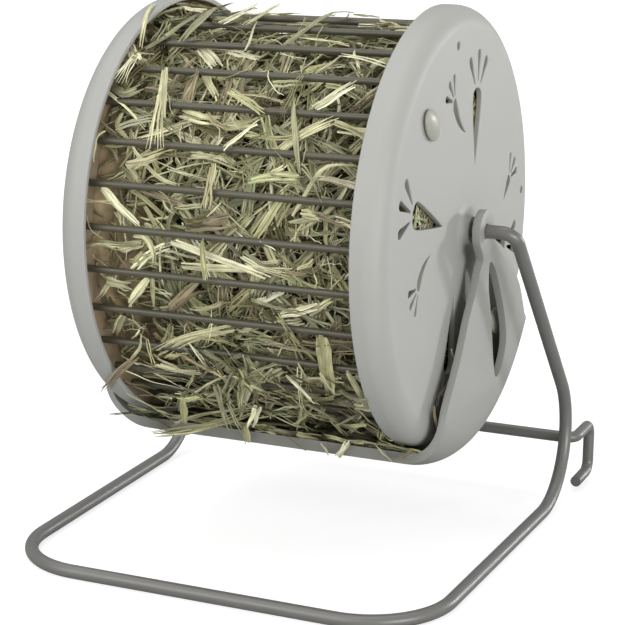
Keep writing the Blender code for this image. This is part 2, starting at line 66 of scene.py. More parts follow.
CAGE_WIRE_END_X = 0.0636
LATCH_DISTANCE = 0.064
LATCH_ANGLES = {"front_latch": math.radians(131.5), "rear_latch": math.radians(311.5)}
KNOB_LENGTH = 0.0165
KNOB_WIDTH = 0.0107
KNOB_TURN = math.radians(13)
KNOB_BASE_X = 0.0693
KNOB_HEIGHT = 0.0029
SPINDLE_RADIUS = 0.004
COLLAR_RADIUS = 0.005
NOSE_TOP_X = 0.0603
NOSE_LOW_X = 0.0583
NOSE_REACH = 0.014
NOSE_WIDTH = 0.006
TRAY_INSIDE_X = 0.074
TRAY_OUTSIDE_X = 0.077
TRAY_INSIDE_RADIUS = 0.0933
TRAY_RADIUS = 0.0975
TRAY_FILLET = 0.0185
TRAY_INNER_FILLET = 0.013
EAR_X = 0.079
EAR_THICKNESS = 0.0033
EAR_RADIUS = 0.0088
EAR_NECK_RADIUS = 0.0165
STAND_WIRE_RADIUS = 0.0028
BAR_RADIUS = 0.0025

# Frames of the turned pieces: their own x, y and z become Y, Z and X
AXLE = Matrix.Translation((0, 0, AXLE_HEIGHT))
RIGHT_SIDE = AXLE @ Matrix(((0, 0, 1), (1, 0, 0), (0, 1, 0))).to_4x4()
LEFT_SIDE = Matrix.Rotation(math.pi, 4, "Z") @ RIGHT_SIDE

# Carrot cut-outs: crown's angle, its distance as a share of the drum's radius, lean, share of
# full length, bow
BIG_CARROTS = (
    (math.radians(164.5), 0.673, math.radians(-2), 1.00, 0.0),
    (math.radians(76.4), 0.640, math.radians(12), 0.90, 0.0),
    (math.radians(-17.0), 0.650, math.radians(6), 0.90, 0.0),
    (math.radians(255.0), 0.655, math.radians(4), 0.95, 0.0),
)
SMALL_CARROTS = (
    (math.radians(104.8), 0.622, math.radians(30), 1.00, -0.10),
    (math.radians(195.8), 0.596, math.radians(24), 0.85, 0.12),
    (math.radians(12.0), 0.680, math.radians(38), 0.60, 0.0),
    (math.radians(285.0), 0.625, math.radians(27), 0.90, -0.08),
)
BIG_SIZES = {"length": 0.035, "width": 0.0105, "leaf": 0.0125, "leaf_width": 0.0036, "gap": 0.0032}
SMALL_SIZES = {"length": 0.0205, "width": 0.0046, "leaf": 0.0082, "leaf_width": 0.0026, "gap": 0.0018}
BODY_SHARES = ((0.000, 0.00), (0.035, 0.72), (0.150, 1.00), (0.500, 0.66), (0.820, 0.26))
LEAF_LEANS = (math.radians(-36), math.radians(-4), math.radians(33))
LEAF_FAN_SHARE = 0.60
LEAF_ROOT_WIDTH = 0.0008
VENTS = ((math.radians(98.2), 0.843), (math.radians(3.0), 0.862), (math.radians(278.2), 0.843))
VENT_RADIUS = 0.0017

# The tray's end wall, in Y and Z from the axle as shares of its radius
FRONT_EDGE_SHARES = (
    (-0.069, -0.058), (-0.045, -0.086), (-0.014, -0.118), (-0.006, -0.145), (-0.022, -0.188),
    (-0.050, -0.237), (-0.096, -0.298), (-0.140, -0.353), (-0.181, -0.420), (-0.221, -0.484),
    (-0.262, -0.538), (-0.303, -0.587), (-0.344, -0.630), (-0.385, -0.685), (-0.407, -0.745),
    (-0.409, -0.800), (-0.394, -0.862), (-0.374, -0.930),
)
REAR_EDGE_SHARES = (
    (0.636, -0.494), (0.553, -0.348), (0.455, -0.256), (0.317, -0.139), (0.164, -0.062), (0.076, -0.013),
)
WINDOW_SHARES = (
    (0.115, -0.159), (0.185, -0.193), (0.271, -0.310), (0.344, -0.441), (0.373, -0.567), (0.310, -0.669),
    (0.237, -0.689), (0.203, -0.616), (0.175, -0.499), (0.144, -0.378), (0.110, -0.266),
)
TRAY_FRONT_ANGLE = math.radians(-111.9)
TRAY_REAR_ANGLE = math.radians(-37.8)

# How finely turned shapes are cut
CAP_STEPS = 180
TRAY_STEPS = 240
CAGE_WIRE_SIDES = 20
STAND_WIRE_SIDES = 32
BAR_SIDES = 28

# The photograph's camera, and its floor
CAMERA_LENS = 106.83
CAMERA_EYE = (0.3108, -0.7021, 0.2812)
CAMERA_TARGET = (0.00102, 0, 0.09269)
CAMERA_ROLL = math.radians(0.26)
FLOOR_COLOUR = (0.46, 0.46, 0.46, 1)
FLOOR_LIFT = 0.72
WHITE = (1, 1, 1, 1)


# Shapes


def add_piece(name, points, faces, frame_matrix, material, sharp=35, weighted=False):
    """A mesh object, placed in world coordinates, smooth but for edges over the sharp angle in degrees."""
    mesh = bpy.data.meshes.new(name)
    mesh.from_pydata([tuple(p) for p in points], [], [tuple(int(i) for i in f) for f in faces])
    mesh.transform(frame_matrix)
    mesh.validate()
    mesh.shade_smooth()
    mesh.set_sharp_from_angle(angle=math.radians(sharp))
    mesh.materials.append(material)
    piece = bpy.data.objects.new(name, mesh)
    bpy.context.scene.collection.objects.link(piece)
    if weighted:
        even = piece.modifiers.new("even_normals", "WEIGHTED_NORMAL")
        even.keep_sharp = True
        even.weight = 80
    return piece


def weld(piece, turn_outwards=True):
    shape = bmesh.new()
    shape.from_mesh(piece.data)
    bmesh.ops.remove_doubles(shape, verts=shape.verts, dist=0.000002)
    if turn_outwards:
        bmesh.ops.recalc_face_normals(shape, faces=shape.faces)
    shape.to_mesh(piece.data)
    shape.free()
    piece.data.shade_smooth()
    piece.data.set_sharp_from_angle(angle=math.radians(35))


def arc(centre, radius, start, end, count):
    angles = np.linspace(start, end, count + 1)
    return [(centre[0] + radius * math.cos(a), centre[1] + radius * math.sin(a)) for a in angles]


def rounded(profile, radii, count=4):
    """A section's corners turned into arcs; radii is one radius a corner, 0 to leave it sharp."""
    line = []
    for k, (corner, radius) in enumerate(zip(profile, radii)):
        if radius == 0:
            line.append(tuple(corner))
            continue
        here = Vector(corner)
        before = (Vector(profile[k - 1]) - here).normalized()
        after = (Vector(profile[(k + 1) % len(profile)]) - here).normalized()
        half = before.angle(after) / 2
        centre = here + (before + after).normalized() * (radius / math.sin(half))
        start = here + before * (radius / math.tan(half)) - centre
        end = here + after * (radius / math.tan(half)) - centre
        sweep = start.angle_signed(end)
        for j in range(count + 1):
            spin = Matrix.Rotation(-sweep * j / count, 2)
            line.append(tuple(centre + spin @ start))
    return line


def revolve(profile, steps, closed=False, first=0):
    """Points and faces of a section of (distance, height) turned about z."""
    profile = np.array(profile)
    count = len(profile)
    turn = np.linspace(0, math.tau, steps, endpoint=False)
    points = np.empty((steps, count, 3))
    points[:, :, 0] = np.cos(turn)[:, None] * profile[None, :, 0]
    points[:, :, 1] = np.sin(turn)[:, None] * profile[None, :, 0]
    points[:, :, 2] = profile[None, :, 1]
    faces = []
    for i in range(steps):
        here, there = first + i * count, first + ((i + 1) % steps) * count
        for j in range(count if closed else count - 1):
            k = (j + 1) % count
            faces.append((here + j, here + k, there + k, there + j))
    return points.reshape(-1, 3), faces


def smooth_through(points, pieces, cyclic=False):
    """A smooth line through the points, in this many pieces between each two."""
    points = [np.array(p, float) for p in points]
    padded = [points[-1], *points, points[0], points[1]] if cyclic else [points[0], *points, points[-1]]
    line = []
    for a, b, c, d in zip(padded, padded[1:], padded[2:], padded[3:]):
        for k in range(pieces):
            t = k / pieces
            line.append(
                (-t / 2 + t * t - t ** 3 / 2) * a + (1 - 5 * t * t / 2 + 3 * t ** 3 / 2) * b
                + (t / 2 + 2 * t * t - 3 * t ** 3 / 2) * c + (-t * t / 2 + t ** 3 / 2) * d
            )
    return line if cyclic else [*line, points[-1]]


def filled(outlines, height, up):
    """Points and faces of flat outlines filled at a height, holes left open."""
    curve = bpy.data.curves.new("fill", "CURVE")
    curve.dimensions = "2D"
    curve.fill_mode = "BOTH"
    for outline in outlines:
        spline = curve.splines.new("POLY")
        spline.points.add(len(outline) - 1)
        for point, (x, y) in zip(spline.points, outline):
            point.co = (x, y, 0, 1)
        spline.use_cyclic_u = True
    holder = bpy.data.objects.new("fill", curve)
    bpy.context.scene.collection.objects.link(holder)
    bpy.context.view_layer.update()
    mesh = bpy.data.meshes.new_from_object(holder.evaluated_get(bpy.context.evaluated_depsgraph_get()))
    points = [(v.co.x, v.co.y, height) for v in mesh.vertices]
    faces = []
    for polygon in mesh.polygons:
        ring = list(polygon.vertices)
        faces.append(ring if (polygon.normal.z > 0) == up else ring[::-1])
    bpy.data.objects.remove(holder)
    bpy.data.curves.remove(curve)
    bpy.data.meshes.remove(mesh)
    return points, faces


def grown(outline, amount):
    """A closed outline moved outwards by an amount; the outline runs anticlockwise."""
    line = np.array(outline)
    ahead = np.roll(line, -1, 0) - line
    ahead /= np.linalg.norm(ahead, axis=1)[:, None]
    mean = ahead + np.roll(ahead, 1, 0)
    mean /= np.linalg.norm(mean, axis=1)[:, None]
    return line + amount * np.stack([mean[:, 1], -mean[:, 0]], 1)


def anticlockwise(outline):
    line = np.array(outline)
    x, y = line[:, 0], line[:, 1]
    area = (x * np.roll(y, -1) - y * np.roll(x, -1)).sum()
    return line if area > 0 else line[::-1]


def evened(outline, step):
    """A closed outline with its points spread evenly along it."""
    line = np.array([*outline, outline[0]])
    along = np.concatenate([[0], np.cumsum(np.linalg.norm(np.diff(line, axis=0), axis=1))])
    count = max(12, round(along[-1] / step))
    places = np.linspace(0, along[-1], count, endpoint=False)
    return np.stack([np.interp(places, along, line[:, 0]), np.interp(places, along, line[:, 1])], 1)


def strips(rings, first):
    """Faces between closed rings of equal length, numbered from first."""
    count = len(rings[0])
    faces = []
    for level in range(len(rings) - 1):
        low = first + level * count
        for i in range(count):
            j = (i + 1) % count
            faces.append((low + i, low + j, low + count + j, low + count + i))
    return faces


def polar(distance, angle):
    return Vector((distance * math.cos(angle), distance * math.sin(angle)))


# Cut-outs


def carrot(crown, inward, length, width, bow):
    side = Vector((-inward.y, inward.x))

    def place(along, across):
        middle = crown + inward * (length * along) + side * (length * bow * 4 * along * (1 - along))
        return middle + side * (width / 2 * across)

    left = [place(along, half) for along, half in BODY_SHARES]
    right = [place(along, -half) for along, half in BODY_SHARES[1:]]
    tip = place(1, 0)
    return smooth_through([tip, *reversed(left), *right, tip], 10)[1:]


def leaf(root, outward, length, width):
    side = Vector((-outward.y, outward.x))
    half = LEAF_ROOT_WIDTH / 2
    outline = [root + side * half * sign for sign in (1, -1)]
    right = [(0.45, 0.62), (0.82, 1.0), (0.97, 0.62)]
    outline += [root + outward * (length * a) - side * (width / 2 * h) for a, h in right]
    outline += [root + outward * (length * a) + side * (width / 2 * h) for a, h in reversed(right)]
    return smooth_through(outline, 5, cyclic=True)


def carrot_outlines(table, sizes):
    outlines = []
    for angle, distance_share, lean, length_share, bow in table:
        crown = polar(DRUM_RADIUS * distance_share, angle)
        inward = polar(1, angle + math.pi + lean)
        outlines.append(carrot(crown, inward, sizes["length"] * length_share, sizes["width"], bow))
        inset = sizes["width"] / 2 * LEAF_FAN_SHARE
        for leaf_lean in LEAF_LEANS:
            outward = polar(1, angle + lean + leaf_lean)
            root = crown + inward * inset + outward * (inset + sizes["gap"])
            outlines.append(leaf(root, outward, sizes["leaf"], sizes["leaf_width"]))
    return outlines


# Materials


def feed(tree, node, inputs):
    """Each named input of a node, linked to a socket or set to a value."""
    for key, value in dict(inputs).items():
        if isinstance(value, bpy.types.NodeSocket):
            tree.links.new(value, node.inputs[key])
        else:
            node.inputs[key].default_value = value


def add_node(tree, kind, inputs=(), **settings):
    made = tree.nodes.new(kind)
    for key, value in settings.items():
        setattr(made, key, value)
    feed(tree, made, inputs)
    return made


def calculated(tree, operation, *values, **settings):
    """What a math node makes of sockets and numbers."""
    return add_node(tree, "ShaderNodeMath", enumerate(values), operation=operation, **settings).outputs[0]


def ranged(tree, value, start, end, low=0, high=1):
    """A value's way from start to end, as one from low to high."""
    inputs = {"Value": value, "From Min": start, "From Max": end, "To Min": low, "To Max": high}
    return add_node(tree, "ShaderNodeMapRange", inputs).outputs["Result"]


def noise(tree, place, scale, detail):
    inputs = {"Vector": place, "Scale": scale, "Detail": detail}
    return add_node(tree, "ShaderNodeTexNoise", inputs).outputs["Fac"]


def mixed(tree, amount, first, second):
    inputs = {"Factor": amount, "A": first, "B": second}
    return add_node(tree, "ShaderNodeMix", inputs, data_type="RGBA").outputs["Result"]


def shaded(tree, colour, amount):
    inputs = {0: colour, "Scale": amount}
    return add_node(tree, "ShaderNodeVectorMath", inputs, operation="SCALE").outputs[0]


def relief(tree, height, distance, strength=1):
    inputs = {"Height": height, "Distance": distance, "Strength": strength}
    return add_node(tree, "ShaderNodeBump", inputs).outputs["Normal"]


def object_place(tree):
    """The place on an object, whole and split into X, Y and Z."""
    place = tree.nodes.new("ShaderNodeTexCoord").outputs["Object"]
    return place, add_node(tree, "ShaderNodeSeparateXYZ", {0: place}).outputs


def new_group(name, inputs, outputs):
    """A node group, with its inputs' sockets and the node that its outputs are fed to."""
    group = bpy.data.node_groups.new(name, "ShaderNodeTree")
    for title, value in inputs.items():
        kind = "NodeSocketColor" if isinstance(value, tuple) else "NodeSocketFloat"
        group.interface.new_socket(name=title, in_out="INPUT", socket_type=kind).default_value = value
    for title, kind in outputs.items():
        group.interface.new_socket(name=title, in_out="OUTPUT", socket_type=kind)
    return group, group.nodes.new("NodeGroupInput").outputs, group.nodes.new("NodeGroupOutput")


def new_material(name):
    material = bpy.data.materials.new(name)
    material.use_nodes = True
    return material, material.node_tree, material.node_tree.nodes["Principled BSDF"]


def mottle_group():
    """Slow and fine unevenness of a moulded or coated surface: a colour, a roughness and a bump height."""
    inputs = {
        "Colour": (0.5, 0.5, 0.5, 1), "Colour drift": 0.05, "Roughness": 0.4, "Roughness drift": 0.1,
        "Patch size": 0.02, "Grain size": 0.0008,
    }
    outputs = {"Colour": "NodeSocketColor", "Roughness": "NodeSocketFloat", "Height": "NodeSocketFloat"}
    group, given, out = new_group("surface_unevenness", inputs, outputs)
    place = group.nodes.new("ShaderNodeTexCoord").outputs["Object"]
    patches = noise(group, place, calculated(group, "DIVIDE", 1, given["Patch size"]), 3)
    grain = noise(group, place, calculated(group, "DIVIDE", 1, given["Grain size"]), 2)
    centred = calculated(group, "SUBTRACT", patches, 0.5)
    shade = calculated(group, "MULTIPLY_ADD", centred, given["Colour drift"], 1)
    roughness = calculated(group, "MULTIPLY_ADD", centred, given["Roughness drift"], given["Roughness"])
    colour = shaded(group, given["Colour"], shade)
    feed(group, out, {"Colour": colour, "Roughness": roughness, "Height": grain})
    return group


def hay_dust_and_shade_group():
    """Brown on what lies inside the end caps, partly hay dusting and partly painted shade with a painted warm
    reflection of the hay: the colour with the brown laid over it.
    """
    inner_radius = SHOULDER_RADIUS - CAP_WALL + GAP
    inputs = {"Colour": (0.5, 0.5, 0.5, 1), "Dust and shade colour": (0.3, 0.25, 0.16, 1), "Inner radius": inner_radius}
    group, given, out = new_group("hay_dust_and_shade", inputs, {"Colour": "NodeSocketColor"})
    place, apart = object_place(group)

    def result(*work, **settings):
        return calculated(group, *work, **settings)

    def long_side(first, second):
        squares = result("ADD", result("POWER", first, 2), result("POWER", second, 2))
        return result("SQRT", squares)

    distance = long_side(apart["Y"], result("SUBTRACT", apart["Z"], AXLE_HEIGHT))
    beyond_face = result("MAXIMUM", result("SUBTRACT", distance, DRUM_RADIUS - SHOULDER_RADIUS), 0)
    end = result("ABSOLUTE", apart["X"])
    beyond_shoulder = result("MAXIMUM", result("SUBTRACT", end, CAP_FACE_X - SHOULDER_RADIUS), 0)
    inside = result("LESS_THAN", long_side(beyond_face, beyond_shoulder), given["Inner radius"])
    thick = result("MULTIPLY_ADD", noise(group, place, 90, 4), 0.9, 0.42, use_clamp=True)
    amount = result("MULTIPLY", inside, thick)
    feed(group, out, {"Colour": mixed(group, amount, given["Colour"], given["Dust and shade colour"])})
    return group


UNEVEN = mottle_group()
HAY_DUST_AND_SHADE = hay_dust_and_shade_group()


def surface(name, colour, roughness, metallic=0, colour_drift=0.06, roughness_drift=0.12,
            patch=0.025, grain=0.0007, bump=0.00002, dust_and_shade=None):
    """A moulded or coated finish, uneven in colour and gloss as the real one is."""
    material, tree, shader = new_material(name)
    inputs = {
        "Colour": (*colour, 1), "Colour drift": colour_drift, "Roughness": roughness,
        "Roughness drift": roughness_drift, "Patch size": patch, "Grain size": grain,
    }
    uneven = add_node(tree, "ShaderNodeGroup", inputs, node_tree=UNEVEN).outputs
    colours = uneven["Colour"]
    # The brown inside the caps is hay dusting mixed with painted shade and a painted warm reflection of the hay.
    if dust_and_shade:
        inputs = {"Colour": colours, "Dust and shade colour": (*dust_and_shade, 1)}
        colours = add_node(tree, "ShaderNodeGroup", inputs, node_tree=HAY_DUST_AND_SHADE).outputs["Colour"]
    feed(tree, shader, {
        "Base Color": colours, "Roughness": uneven["Roughness"], "Metallic": metallic,
        "Normal": relief(tree, uneven["Height"], bump),
    })
    return material


def paint_trough_shade(material):
    """Painted shade that darkens the tray's trough, and leaves its end walls as they are."""
    tree = material.node_tree
    shader = tree.nodes["Principled BSDF"]
    plain = shader.inputs["Base Color"].links[0].from_socket
    end = calculated(tree, "ABSOLUTE", object_place(tree)[1]["X"])
    # Painted shade: the trough darkens inwards from the end walls.
    amount = ranged(tree, end, 0.072, 0.060, high=0.75)
    feed(tree, shader, {"Base Color": mixed(tree, amount, plain, (0.200, 0.198, 0.172, 1))})


# Inside the caps the brown is hay dusting together with painted shade.
CAP_PLASTIC = surface("cap_plastic", (0.368, 0.368, 0.347), 0.55, dust_and_shade=(0.30, 0.230, 0.140))
RING_PLASTIC = surface("ring_plastic", (0.40, 0.39, 0.36), 0.46, dust_and_shade=(0.27, 0.20, 0.12))
KNOB_PLASTIC = surface("knob_plastic", (0.360, 0.354, 0.303), 0.38)
TRAY_PLASTIC = surface("tray_plastic", (0.308, 0.308, 0.289), 0.44)
# The tray's trough gets painted shade, darker than its end walls.
paint_trough_shade(TRAY_PLASTIC)
COATED = {"metallic": 0.25, "colour_drift": 0.18, "roughness_drift": 0.2, "grain": 0.0006, "bump": 0.00003}
STAND_COATING = surface("stand_coating", (0.172, 0.170, 0.161), 0.42, patch=0.012, **COATED)
CAGE_COATING = surface("cage_coating", (0.092, 0.086, 0.060), 0.42, patch=0.006, **COATED)


# Drum


def pierced_cap(name, side, material):
    """An end cap: a flat face with softened holes, a rounded shoulder and skirt, and the hub's boss."""
    soft = 0.00045
    levels = 4
    face_radius = DRUM_RADIUS - SHOULDER_RADIUS
    shoulder_x = CAP_FACE_X - SHOULDER_RADIUS
    boss_foot = 0.0022
    outlines = carrot_outlines(BIG_CARROTS, BIG_SIZES) + carrot_outlines(SMALL_CARROTS, SMALL_SIZES)
    for angle, share in VENTS:
        outlines.append(arc(polar(DRUM_RADIUS * share, angle), VENT_RADIUS, 0, math.tau, 24)[:-1])
    holes = [anticlockwise(evened([tuple(p) for p in outline], 0.0005)) for outline in outlines]

    points, faces = [], []

    def add(more_points, more_faces):
        faces.extend([tuple(i + len(points) for i in f) for f in more_faces])
        points.extend([tuple(p) for p in more_points])

    def circle(radius):
        return [tuple(polar(radius, math.tau * k / CAP_STEPS)) for k in range(CAP_STEPS)]

    edge, foot = circle(face_radius), circle(BOSS_RADIUS + boss_foot)
    add(*filled([edge, foot, *[grown(h, soft) for h in holes]], CAP_FACE_X, True))
    add(*filled([edge, circle(BORE_RADIUS + SOCKET_WALL), *holes], CAP_FACE_X - CAP_WALL, False))
    for hole in holes:
        rings = []
        for k in range(levels + 1):
            t = math.pi / 2 * k / levels
            ring = grown(hole, soft * (1 - math.sin(t)))
            rings.append([(x, y, CAP_FACE_X - soft * (1 - math.cos(t))) for x, y in ring])
        rings.append([(x, y, CAP_FACE_X - CAP_WALL) for x, y in hole])
        add([p for ring in rings for p in ring], strips(rings, 0))

    shoulder = arc((face_radius, shoulder_x), SHOULDER_RADIUS, math.pi / 2, 0, 12)
    rim = 0.0006
    shoulder += arc((DRUM_RADIUS - rim, CAP_EDGE_X + rim), rim, 0, -math.pi / 2, 5)
    shoulder += arc((DRUM_RADIUS - CAP_WALL + rim, CAP_EDGE_X + rim), rim, -math.pi / 2, -math.pi, 5)
    shoulder += arc((face_radius, shoulder_x), SHOULDER_RADIUS - CAP_WALL, 0, math.pi / 2, 8)
    add(*revolve(shoulder, CAP_STEPS))
    ease = 0.0006
    boss = [(0, SOCKET_X), (BORE_RADIUS, SOCKET_X), (BORE_RADIUS, BOSS_X - ease / 2)]
    boss += arc((BOSS_TIP_RADIUS - ease, BOSS_X - ease), ease, math.pi / 2, 0, 5)
    flare = [(BOSS_TIP_RADIUS, BOSS_X - 0.0012), (0.0061, 0.0708), (0.0073, 0.0698), (0.0091, 0.0692)]
    boss += [tuple(p) for p in smooth_through([*flare, (BOSS_RADIUS + boss_foot, CAP_FACE_X)], 4)]
    add(*revolve(boss, CAP_STEPS))
    floor_x = SOCKET_X - SOCKET_FLOOR
    wall = BORE_RADIUS + SOCKET_WALL
    add(*revolve([(wall, CAP_FACE_X - CAP_WALL), (wall, floor_x), (0, floor_x)], CAP_STEPS))
    piece = add_piece(name, points, faces, side, material, weighted=True)
    weld(piece)
    return piece


def wire_ring(name, side, material):
    """The flat ring inside a cap's skirt, which the cage wires enter."""
    profile = [(RING_RADIUS, RING_OUTER_X), (RING_RADIUS, RING_INNER_X),
               (RING_HOLE_RADIUS, RING_INNER_X), (RING_HOLE_RADIUS, RING_OUTER_X)]
    section = rounded(profile, [0.0003, 0.0006, 0.0006, 0.0006])
    piece = add_piece(name, *revolve(section, CAP_STEPS, closed=True), side, material)
    weld(piece)
    return piece


def latch_frame(angle):
    turn = AXLE @ Matrix.Rotation(angle, 4, "X") @ Matrix.Translation((0, LATCH_DISTANCE, 0))
    return turn @ AXLE.inverted() @ RIGHT_SIDE


def turn_latch(name, angle, material):
    """A domed oval knob with a softened rim, on its spindle, collar and nose."""
    points, faces = [], []
    stretch = KNOB_LENGTH / KNOB_WIDTH
    rim = 0.0008
    half_width = KNOB_WIDTH / 2
    dome = [(half_width * s, KNOB_BASE_X + KNOB_HEIGHT * h) for s, h in
            ((0, 1), (0.15, 0.993), (0.3, 0.968), (0.45, 0.92), (0.6, 0.84), (0.74, 0.72), (0.86, 0.56))]
    dome += arc((half_width - rim, KNOB_BASE_X + rim), rim, math.radians(42), math.radians(-60), 6)
    dome += [(half_width - 2 * rim, KNOB_BASE_X), (0, KNOB_BASE_X)]
    knob_points, knob_faces = revolve(dome, 72)
    knob_points[:, 0] *= stretch
    turned = Matrix.Rotation(KNOB_TURN, 3, "Z")
    knob_points = [turned @ Vector(p) for p in knob_points]
    points += [tuple(p) for p in knob_points]
    faces += knob_faces
    collar_top = CAP_FACE_X - CAP_WALL - GAP
    spindle = [(0, KNOB_BASE_X + rim), (SPINDLE_RADIUS, KNOB_BASE_X + rim), (SPINDLE_RADIUS, collar_top),
               (COLLAR_RADIUS, collar_top), (COLLAR_RADIUS, NOSE_LOW_X), (0, NOSE_LOW_X)]
    more_points, more_faces = revolve(spindle, 40, first=len(points))
    points += [tuple(p) for p in more_points]
    faces += more_faces
    half = NOSE_WIDTH / 2
    outline = [(0, -half), *arc((NOSE_REACH - half, 0), half, -math.pi / 2, math.pi / 2, 16), (0, half)]
    first = len(points)
    points += [(x, y, NOSE_LOW_X) for x, y in outline] + [(x, y, NOSE_TOP_X) for x, y in outline]
    faces += strips([outline, outline], first)
    count = len(outline)
    faces += [tuple(first + i for i in reversed(range(count))), tuple(first + count + i for i in range(count))]
    return add_piece(name, points, faces, latch_frame(angle), material)


def tube(name, line, radius, sides, material, end_round=0.0):
    """A round wire along a line, its ends closed and slightly rounded."""
    places = [Vector(p) for p in line]
    radii = [radius] * len(places)
    if end_round:
        start, *middle, stop = places
        ahead = (places[1] - start).normalized()
        back = (stop - places[-2]).normalized()
        eases = (0.0, 0.35, 0.7)
        narrow = [radius - end_round * (1 - math.sqrt(1 - (1 - t) ** 2)) for t in eases]
        places = [*(start + ahead * end_round * t * t for t in eases), *middle,
                  *(stop - back * end_round * t * t for t in reversed(eases))]
        radii = [*narrow, *[radius] * len(middle), *reversed(narrow)]
    directions = []
    for before, after in zip([places[0], *places], [*places[1:], places[-1]]):
        directions.append((after - before).normalized())
    side = directions[0].orthogonal().normalized()
    points, faces = [], []
    for k, (place, direction, r) in enumerate(zip(places, directions, radii)):
        if k:
            side = (directions[k - 1].rotation_difference(direction) @ side).normalized()
            side = (side - direction * side.dot(direction)).normalized()
        up = direction.cross(side)
        for j in range(sides):
            a = math.tau * j / sides
            points.append(tuple(place + side * (r * math.cos(a)) + up * (r * math.sin(a))))
        if k:
            low = (k - 1) * sides
            for j in range(sides):
                n = (j + 1) % sides
                faces.append((low + j, low + n, low + sides + n, low + sides + j))
    faces.append(tuple(reversed(range(sides))))
    last = (len(places) - 1) * sides
    faces.append(tuple(last + j for j in range(sides)))
    return add_piece(name, points, faces, Matrix.Identity(4), material, sharp=50)


# Tray


def catch_tray(material):
    """The shell round the drum's underside, cut to its end walls' outline and softened along every edge."""

    def skin(wall_x, radius, fillet, ear_x):
        line = [(0, ear_x), (EAR_RADIUS - 0.001, ear_x)]
        line += smooth_through([(EAR_RADIUS, ear_x), (0.0115, ear_x - 0.0006), (0.0140, wall_x + 0.0006),
                                (EAR_NECK_RADIUS, wall_x)], 4)
        return line + arc((radius - fillet, wall_x - fillet), fillet, math.pi / 2, 0, 16)

    outer = skin(TRAY_OUTSIDE_X, TRAY_RADIUS, TRAY_FILLET, EAR_X)
    inner = skin(TRAY_INSIDE_X, TRAY_INSIDE_RADIUS, TRAY_INNER_FILLET, EAR_X - EAR_THICKNESS)
    outer = [*outer, *((r, -x) for r, x in reversed(outer))]
    inner = [*inner, *((r, -x) for r, x in reversed(inner))][::-1]
    points, faces = revolve(outer, TRAY_STEPS)
    more_points, more_faces = revolve(inner, TRAY_STEPS, first=len(points))
    points, faces = [*points, *more_points], [*faces, *more_faces]
    tray = add_piece("catch_tray_moulding", points, faces, RIGHT_SIDE, material)
    weld(tray, turn_outwards=False)

    def scaled(shares):
        return [(y * TRAY_RADIUS, z * TRAY_RADIUS) for y, z in shares]

    front = smooth_through(scaled(FRONT_EDGE_SHARES), 3)
    rear = smooth_through(scaled(REAR_EDGE_SHARES), 6)
    under = arc((0, 0), TRAY_RADIUS + 0.003, TRAY_FRONT_ANGLE, TRAY_REAR_ANGLE, 40)
    start = math.atan2(rear[-1][1], rear[-1][0])
    end = math.atan2(front[0][1], front[0][0]) + math.tau
    ear = arc((0, 0), EAR_RADIUS, start, end, 48)
    outline = prism("tray_outline", [[*front, *under, *rear, *ear]])
    window = smooth_through(scaled(WINDOW_SHARES), 6, cyclic=True)
    bore = arc((0, 0), BORE_RADIUS, 0, math.tau, 40)[:-1]
    holes = prism("tray_holes", [window, bore])
    for tool, operation in ((outline, "INTERSECT"), (holes, "DIFFERENCE")):
        cut = tray.modifiers.new(tool.name, "BOOLEAN")
        cut.operation = operation
        cut.object = tool
    bpy.context.view_layer.update()
    mesh = bpy.data.meshes.new_from_object(tray.evaluated_get(bpy.context.evaluated_depsgraph_get()))
    tray.modifiers.clear()
    tray.data = mesh
    for tool in (outline, holes):
        bpy.data.objects.remove(tool)
    for operation in ("dissolve", "bevel"):
        shape = bmesh.new()
        shape.from_mesh(mesh)
        verts, edges = shape.verts, shape.edges
        if operation == "dissolve":
            bmesh.ops.remove_doubles(shape, verts=verts, dist=0.00002)
            bmesh.ops.dissolve_limit(shape, angle_limit=math.radians(0.6), verts=verts, edges=edges)
        else:
            edges = [e for e in edges if len(e.link_faces) == 2 and e.calc_face_angle() > math.radians(50)]
            bmesh.ops.bevel(shape, geom=edges, offset=0.00055, segments=3, profile=0.5, affect="EDGES",
                            clamp_overlap=True)
        shape.to_mesh(mesh)
        shape.free()
    mesh.shade_smooth()
    mesh.set_sharp_from_angle(angle=math.radians(35))
    return tray


def prism(name, outlines):
    """Outlines of the tray's end wall, as a solid right across the feeder."""
    half = EAR_X + 0.003
    points, faces = [], []
    for height, up in ((half, True), (-half, False)):
        more_points, more_faces = filled(outlines, height, up)
        faces += [tuple(i + len(points) for i in f) for f in more_faces]
        points += more_points
    for outline in outlines:
        ring = anticlockwise([tuple(p) for p in outline])
        first = len(points)
        points += [(x, y, -half) for x, y in ring] + [(x, y, half) for x, y in ring]
        faces += strips([ring, ring], first)
    piece = add_piece(name, points, faces, RIGHT_SIDE, TRAY_PLASTIC)
    weld(piece)
    return piece


# Stand


def bent(corners, bends, step=math.radians(4)):
    """A wire's line: straight runs between corners, and an arc at each inner one."""
    corners = [Vector(c) for c in corners]
    line = [corners[0]]
    for before, corner, after, bend in zip(corners, corners[1:], corners[2:], bends):
        back = (before - corner).normalized()
        ahead = (after - corner).normalized()
        turn = math.pi - back.angle(ahead)
        centre = corner + (back + ahead).normalized() * (bend / math.cos(turn / 2))
        start = corner + back * (bend * math.tan(turn / 2)) - centre
        axis = ahead.cross(back).normalized()
        count = math.ceil(turn / step)
        line += [centre + Matrix.Rotation(turn * k / count, 3, axis) @ start for k in range(count + 1)]
    return [*line, corners[-1]]


def mirrored(corners):
    return [*corners, *((-x, y, z) for x, y, z in reversed(corners))]


